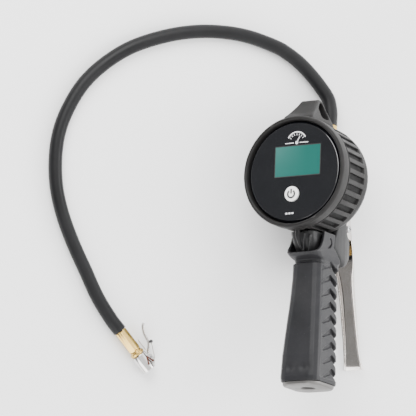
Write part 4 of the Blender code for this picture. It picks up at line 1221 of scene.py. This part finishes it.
def chuck_clip_pieces():
    """The clip's curved tab with its knuckle and nub, and the wire that runs to the mouth."""
    along, out = CLIP_PIVOT
    middle = [(7.4, 21.0), (9.2, 18.8), (12.3, 16.9), (16.0, 15.5), (20.0, 14.8), (23.6, 14.2),
              (26.6, 12.0), (29.6, 9.0), (32.6, 7.6), (37.4, 7.4), (40.2, 6.6), (42.4, 5.3)]
    tab = bent_strip("clip_tab", middle, 1.9, CLIP_HALF, "clip_nickel", CHUCK)
    knuckle = bmesh.new()
    across = Matrix.Translation((out, 0, along)) @ Matrix.Rotation(QUARTER, 4, 'X')
    rim = rounded_outline([(1.15, -CLIP_HALF), (2.0, -CLIP_HALF), (2.0, CLIP_HALF),
                           (1.15, CLIP_HALF)], 0.2, 2)
    lathe([tuple(point) for point in rim], 40, knuckle, across)
    knuckle = make_piece("clip_knuckle", knuckle, finish_for("chrome_plate"), CHUCK)
    nub = lathe([(0, -2.4), (1.3, -2.4), (1.45, -2.0), (1.45, 0.4), (1.1, 0.8), (0, 0.9)], 32,
                None, Matrix.Translation((16.2, 1.6, 24.2)) @ Matrix.Rotation(
                    QUARTER, 4, 'X'))
    nub = make_piece("clip_nub", nub, finish_for("black_plastic"), CHUCK)
    wire = bent_strip("clip_link", [(24.2, 15.6), (27.0, 15.4), (31.0, 13.6), (36.0, 11.2),
                                    (38.6, 9.6)], 0.75, 0.48, "clip_nickel", CHUCK)
    return tab, knuckle, nub, wire


def spring_legs():
    """The two legs by which the leaf grips the barrel, coloured near-black as painted shade inside
    the barrel's slot.
    """
    legs = []
    top = Vector((4.5, 5.9, 32.0))
    for index, foot in enumerate((Vector((1.5, 7.4, 39.0)), Vector((7.2, 4.9, 39.2)))):
        along = (foot - top).normalized()
        side = along.cross(Vector((0, 1, 0))).normalized()
        up = side.cross(along)
        rings = []
        for share, reach in ((0.0, 0.35), (0.04, 0.55), (0.8, 0.6), (0.88, 0.95), (0.97, 0.95),
                             (1.0, 0.6)):
            middle = top.lerp(foot, share)
            rings.append([middle + (side * cosine + up * 0.6 * sine) * reach
                          for cosine, sine in circle()])
        legs.append(make_piece(f"spring_leg_{index + 1}", loft(rings), finish_for("dark_spring"),
                               CHUCK))
    return legs


def chuck():
    """Ferrule, adapter, barrel, clip, gasket and depressor; gives every piece that it made."""
    made = {}
    ferrule = hexagon("ferrule_sleeve", 6.1, GAP, FERRULE_LENGTH, "brass", CHUCK, 2.6,
                      math.radians(30), 0.6)
    made["end_ferrule"] = [ferrule]
    low = FERRULE_LENGTH + GAP
    made["chuck_adapter"] = [turned_piece(
        "adapter_flange", [(2.2, low), (5.2, low), (5.2, low + 1.4), (6.4, low + 1.8),
                           (6.4, low + 3.8), (5.8, CHUCK_START - GAP), (2.2, CHUCK_START - GAP)],
        "brass", CHUCK, 0.35)]
    made["chuck_body"] = [chuck_barrel(), *chuck_ears()]
    along, out = CLIP_PIVOT
    half = CLIP_HALF + 0.25
    pin = [(0, -half - 1.5), (0.95, -half - 1.5), (0.95, half + 1.5), (0, half + 1.5)]
    across = Matrix.Translation((out, 0, along)) @ Matrix.Rotation(QUARTER, 4, 'X')
    made["clip_pin"] = [make_piece("clip_axle", lathe(pin, 32, matrix=across),
                                   finish_for("zinc_plated_steel"), CHUCK)]
    made["clip_spring"] = [bent_strip(
        "clip_leaf", [(27.2, 8.0), (24.8, 8.0), (22.4, 7.9), (19.0, 7.8), (16.4, 8.3)], 0.5, 1.8,
        "clip_nickel", CHUCK)]
    made["clip_spring"] += spring_legs()
    made["chuck_gasket"] = [turned_piece(
        "mouth_gasket", [(1.9, CHUCK_SEAT + 0.3), (CHUCK_BORE - 0.2, CHUCK_SEAT + 0.3),
                         (CHUCK_BORE - 0.2, CHUCK_SEAT + 3.0), (1.9, CHUCK_SEAT + 3.0)],
        "seal_rubber", CHUCK, 0.3)]
    pusher = [(0, CHUCK_SEAT - 3.6), (1.6, CHUCK_SEAT - 3.6), (1.6, CHUCK_SEAT - 1.2),
              (0.9, CHUCK_SEAT - 0.6), (0.9, CHUCK_SEAT + 3.4), (0, CHUCK_SEAT + 3.8)]
    made["valve_depressor"] = [make_piece("core_pusher", lathe(pusher, 32),
                                          finish_for("brass"), CHUCK)]
    return made


# ---------------------------------------------------------------- operators

SLOTS = {
    "gauge_case": "black_plastic", "face_panel": "printed_face", "display": "liquid_crystal",
    "display_contact_strip_1": "seal_rubber", "display_contact_strip_2": "seal_rubber",
    "button_switch": "black_plastic", "circuit_board": "board",
    "pressure_sensor": "zinc_plated_steel", "battery_1": "cell_jacket",
    "battery_2": "cell_jacket", "battery_contact_1": "zinc_plated_steel",
    "battery_contact_2": "zinc_plated_steel", "battery_door": "black_plastic",
    "door_screw_1": "zinc_plated_steel", "door_screw_2": "zinc_plated_steel",
    "gauge_stem": "brass", "stem_nut": "brass", "stem_seal": "seal_rubber",
    "inlet_strainer": "zinc_plated_steel", "valve_seat": "brass",
    "valve_stem": "zinc_plated_steel", "poppet_seal": "seal_rubber", "valve_gland": "brass",
    "stem_seal_ring": "seal_rubber", "seal_retainer": "brass",
    "valve_spring": "zinc_plated_steel",
}


class INFLATOR_OT_gauge(bpy.types.Operator):
    """Build the boot, the lens, the display and the button"""
    bl_idname = "inflator.gauge"
    bl_label = "Gauge head"

    def execute(self, context):
        settle(boot_cup(), "body", "rubber", "gauge_boot")
        settle(hanging_loop(), "body", "rubber", "gauge_boot")
        settle(lens_disc(), "body", "smoked_lens", "gauge_lens")
        for piece in display_window():
            settle(piece, "body", "liquid_crystal")
        settle(dial_mark(), "body", "printed_face")
        settle(unit_marks(), "body", "printed_face")
        cap, sign = button_cap()
        settle(cap, "mode_button", "white_button", "mode_button")
        settle(sign, "mode_button", "printed_face")
        return {'FINISHED'}


class INFLATOR_OT_body(bpy.types.Operator):
    """Build the casting, the grip and the inlet's end plate"""
    bl_idname = "inflator.body"
    bl_label = "Body and grip"

    def execute(self, context):
        settle(casting(), "body", "black_casting", "valve_body")
        settle(grip(), "body", "rubber", "grip_sleeve")
        plate, tube = inlet_end()
        settle(plate, "body", "machined_alloy", "inlet_fitting")
        settle(tube, "body", "machined_alloy", "inlet_fitting")
        return {'FINISHED'}


class INFLATOR_OT_lever(bpy.types.Operator):
    """Build the lever, its screw and its nut"""
    bl_idname = "inflator.lever"
    bl_label = "Lever"

    def execute(self, context):
        settle(lever_blade(), "lever", "chrome_plate", "lever")
        screw, nut = lever_pin()
        settle(screw, "body", "zinc_plated_steel", "lever_screw")
        settle(nut, "body", "zinc_plated_steel", "lever_nut")
        return {'FINISHED'}


class INFLATOR_OT_hose(bpy.types.Operator):
    """Build the hose with its fitting and the chuck on its end"""
    bl_idname = "inflator.hose"
    bl_label = "Hose and chuck"

    def execute(self, context):
        low = OUTLET_TOP + GAP
        column = TOOL @ Matrix.Translation(Vector((0, COLUMN_BACK, 0)) * MM)
        fitting = hexagon("outlet_hexagon", 6.9, low, HEX_TOP, "brass", column, 2.5, 0.0, 0.5)
        settle(fitting, "body", "brass", "hose_fitting")
        made = chuck()
        slots = {"end_ferrule": "brass", "chuck_adapter": "brass", "chuck_body": "chrome_plate",
                 "clip_pin": "zinc_plated_steel", "clip_spring": "zinc_plated_steel",
                 "chuck_gasket": "seal_rubber", "valve_depressor": "brass"}
        for node, pieces in made.items():
            for piece in pieces:
                settle(piece, "body", slots[node], node)
        tab, knuckle, nub, wire = chuck_clip_pieces()
        for piece in (tab, knuckle):
            settle(piece, "chuck_clip", "chrome_plate", "chuck_clip")
        settle(nub, "chuck_clip", "chrome_plate")
        settle(wire, "chuck_clip", "zinc_plated_steel", "clip_wire")
        tube, start, length = hose()
        settle(tube, "body", "hose_rubber", "hose")
        return {'FINISHED'}


class INFLATOR_OT_inside(bpy.types.Operator):
    """Give the pieces inside the gauge and the body their finishes"""
    bl_idname = "inflator.inside"
    bl_label = "Inner pieces"

    def execute(self, context):
        for node, slot in SLOTS.items():
            mesh = frame["nodes"][node].data
            mesh.materials.clear()
            mesh.materials.append(finish_for(slot))
        return {'FINISHED'}


class INFLATOR_OT_stage(bpy.types.Operator):
    """Build the floor, the lights and the camera"""
    bl_idname = "inflator.stage"
    bl_label = "Stage"

    def execute(self, context):
        build_floor()
        build_lights()
        build_camera()
        return {'FINISHED'}


class INFLATOR_PT_panel(bpy.types.Panel):
    """Lists the builders and the settings"""
    bl_idname = "INFLATOR_PT_panel"
    bl_label = "Tyre inflator"
    bl_space_type = 'VIEW_3D'
    bl_region_type = 'UI'
    bl_category = "Inflator"

    def draw(self, context):
        for title in InflatorLooks.__annotations__:
            self.layout.prop(context.scene.inflator_looks, title)
        for operator in OPERATORS:
            self.layout.operator(operator.bl_idname)


# ---------------------------------------------------------------- stage

def build_floor():
    """A plain pale floor, large enough to reach past the picture."""
    data = bmesh.new()
    half = FLOOR_HALF
    data.faces.new([data.verts.new((x, y, 0)) for x, y in (
        (-half, -half), (half, -half), (half, half), (-half, half))])
    floor = Finish("Pale floor", looks().floor_colour, 0.9)
    grain_node = floor.effect("grain", scale=6.0, roughness_low=0.85, roughness_high=0.95)
    floor.roughness(grain_node.outputs["Roughness"])
    plane = make_piece("floor", data, floor.done(), Matrix())


def area_light(name, place, aim, size, power, colour=(1, 1, 1), height=None):
    """A soft rectangular light that faces a point, all in metres."""
    light = bpy.data.lights.new(name, 'AREA')
    light.shape = 'RECTANGLE'
    light.size = size
    light.size_y = height or size
    light.energy = power
    light.color = colour
    lamp = bpy.data.objects.new(name, light)
    place, aim = Vector(place), Vector(aim)
    lamp.matrix_world = Matrix.Translation(place) @ (aim - place).to_track_quat(
        '-Z', 'Y').to_matrix().to_4x4()
    bpy.context.collection.objects.link(lamp)


def build_lights():
    """Broad soft light from above, with strips that show in the metal."""
    world = bpy.data.worlds.new("Pale room")
    world.use_nodes = True
    tree = world.node_tree
    shade = tree.nodes["Background"]
    shade.inputs["Strength"].default_value = WORLD_STRENGTH
    split = tree.nodes.new('ShaderNodeSeparateXYZ')
    link(tree, tree.nodes.new('ShaderNodeTexCoord').outputs["Generated"], split.inputs[0])
    side = map_range(tree, split.outputs["X"], -0.75, -0.2, 0.12, 1.0)
    rise = map_range(tree, split.outputs["Z"], 0.55, 0.95, 1.0, 0.5)
    link(tree, math_node(tree, 'MULTIPLY', side, rise), shade.inputs["Color"])
    bpy.context.scene.world = world
    middle = (-0.06, 0.03, 0.03)
    area_light("key_light", (-0.55, 0.75, 0.95), middle, 0.9, 22.0)
    area_light("side_light", (0.95, 0.1, 0.55), middle, 0.5, 12.0, height=1.0)
    area_light("low_light", (-0.5, -0.9, 0.5), middle, 0.7, 7.0)


def build_camera():
    """The camera over the tool as it lies, a little to one side."""
    lens = TOOL.translation
    centre = lens + (VIEW_RIGHT * VIEW_CENTRE[0] + VIEW_UP * VIEW_CENTRE[1]) * MM
    turn = Matrix((VIEW_RIGHT, VIEW_UP, VIEW_TO_CAMERA)).transposed().to_4x4()
    data = bpy.data.cameras.new("main_camera")
    data.sensor_width = 36.0
    data.lens = data.sensor_width * VIEW_DISTANCE / (VIEW_WIDTH * MM)
    data.clip_end = 100.0
    camera = bpy.data.objects.new("main_camera", data)
    camera.matrix_world = Matrix.Translation(centre + VIEW_TO_CAMERA * VIEW_DISTANCE) @ turn
    bpy.context.collection.objects.link(camera)
    bpy.context.scene.camera = camera


# ---------------------------------------------------------------- add-on

OPERATORS = (INFLATOR_OT_gauge, INFLATOR_OT_body, INFLATOR_OT_lever, INFLATOR_OT_hose,
             INFLATOR_OT_inside, INFLATOR_OT_stage)
CLASSES = (InflatorLooks, *OPERATORS, INFLATOR_PT_panel)


def register():
    for each in CLASSES:
        bpy.utils.register_class(each)
    bpy.types.Scene.inflator_looks = PointerProperty(type=InflatorLooks)


def unregister():
    del bpy.types.Scene.inflator_looks
    for each in reversed(CLASSES):
        bpy.utils.unregister_class(each)


def main():
    register()
    bpy.ops.inflator.gauge()
    bpy.ops.inflator.body()
    bpy.ops.inflator.lever()
    bpy.ops.inflator.hose()
    bpy.ops.inflator.inside()
    bpy.ops.inflator.stage()


if __name__ == "__main__":
    main()
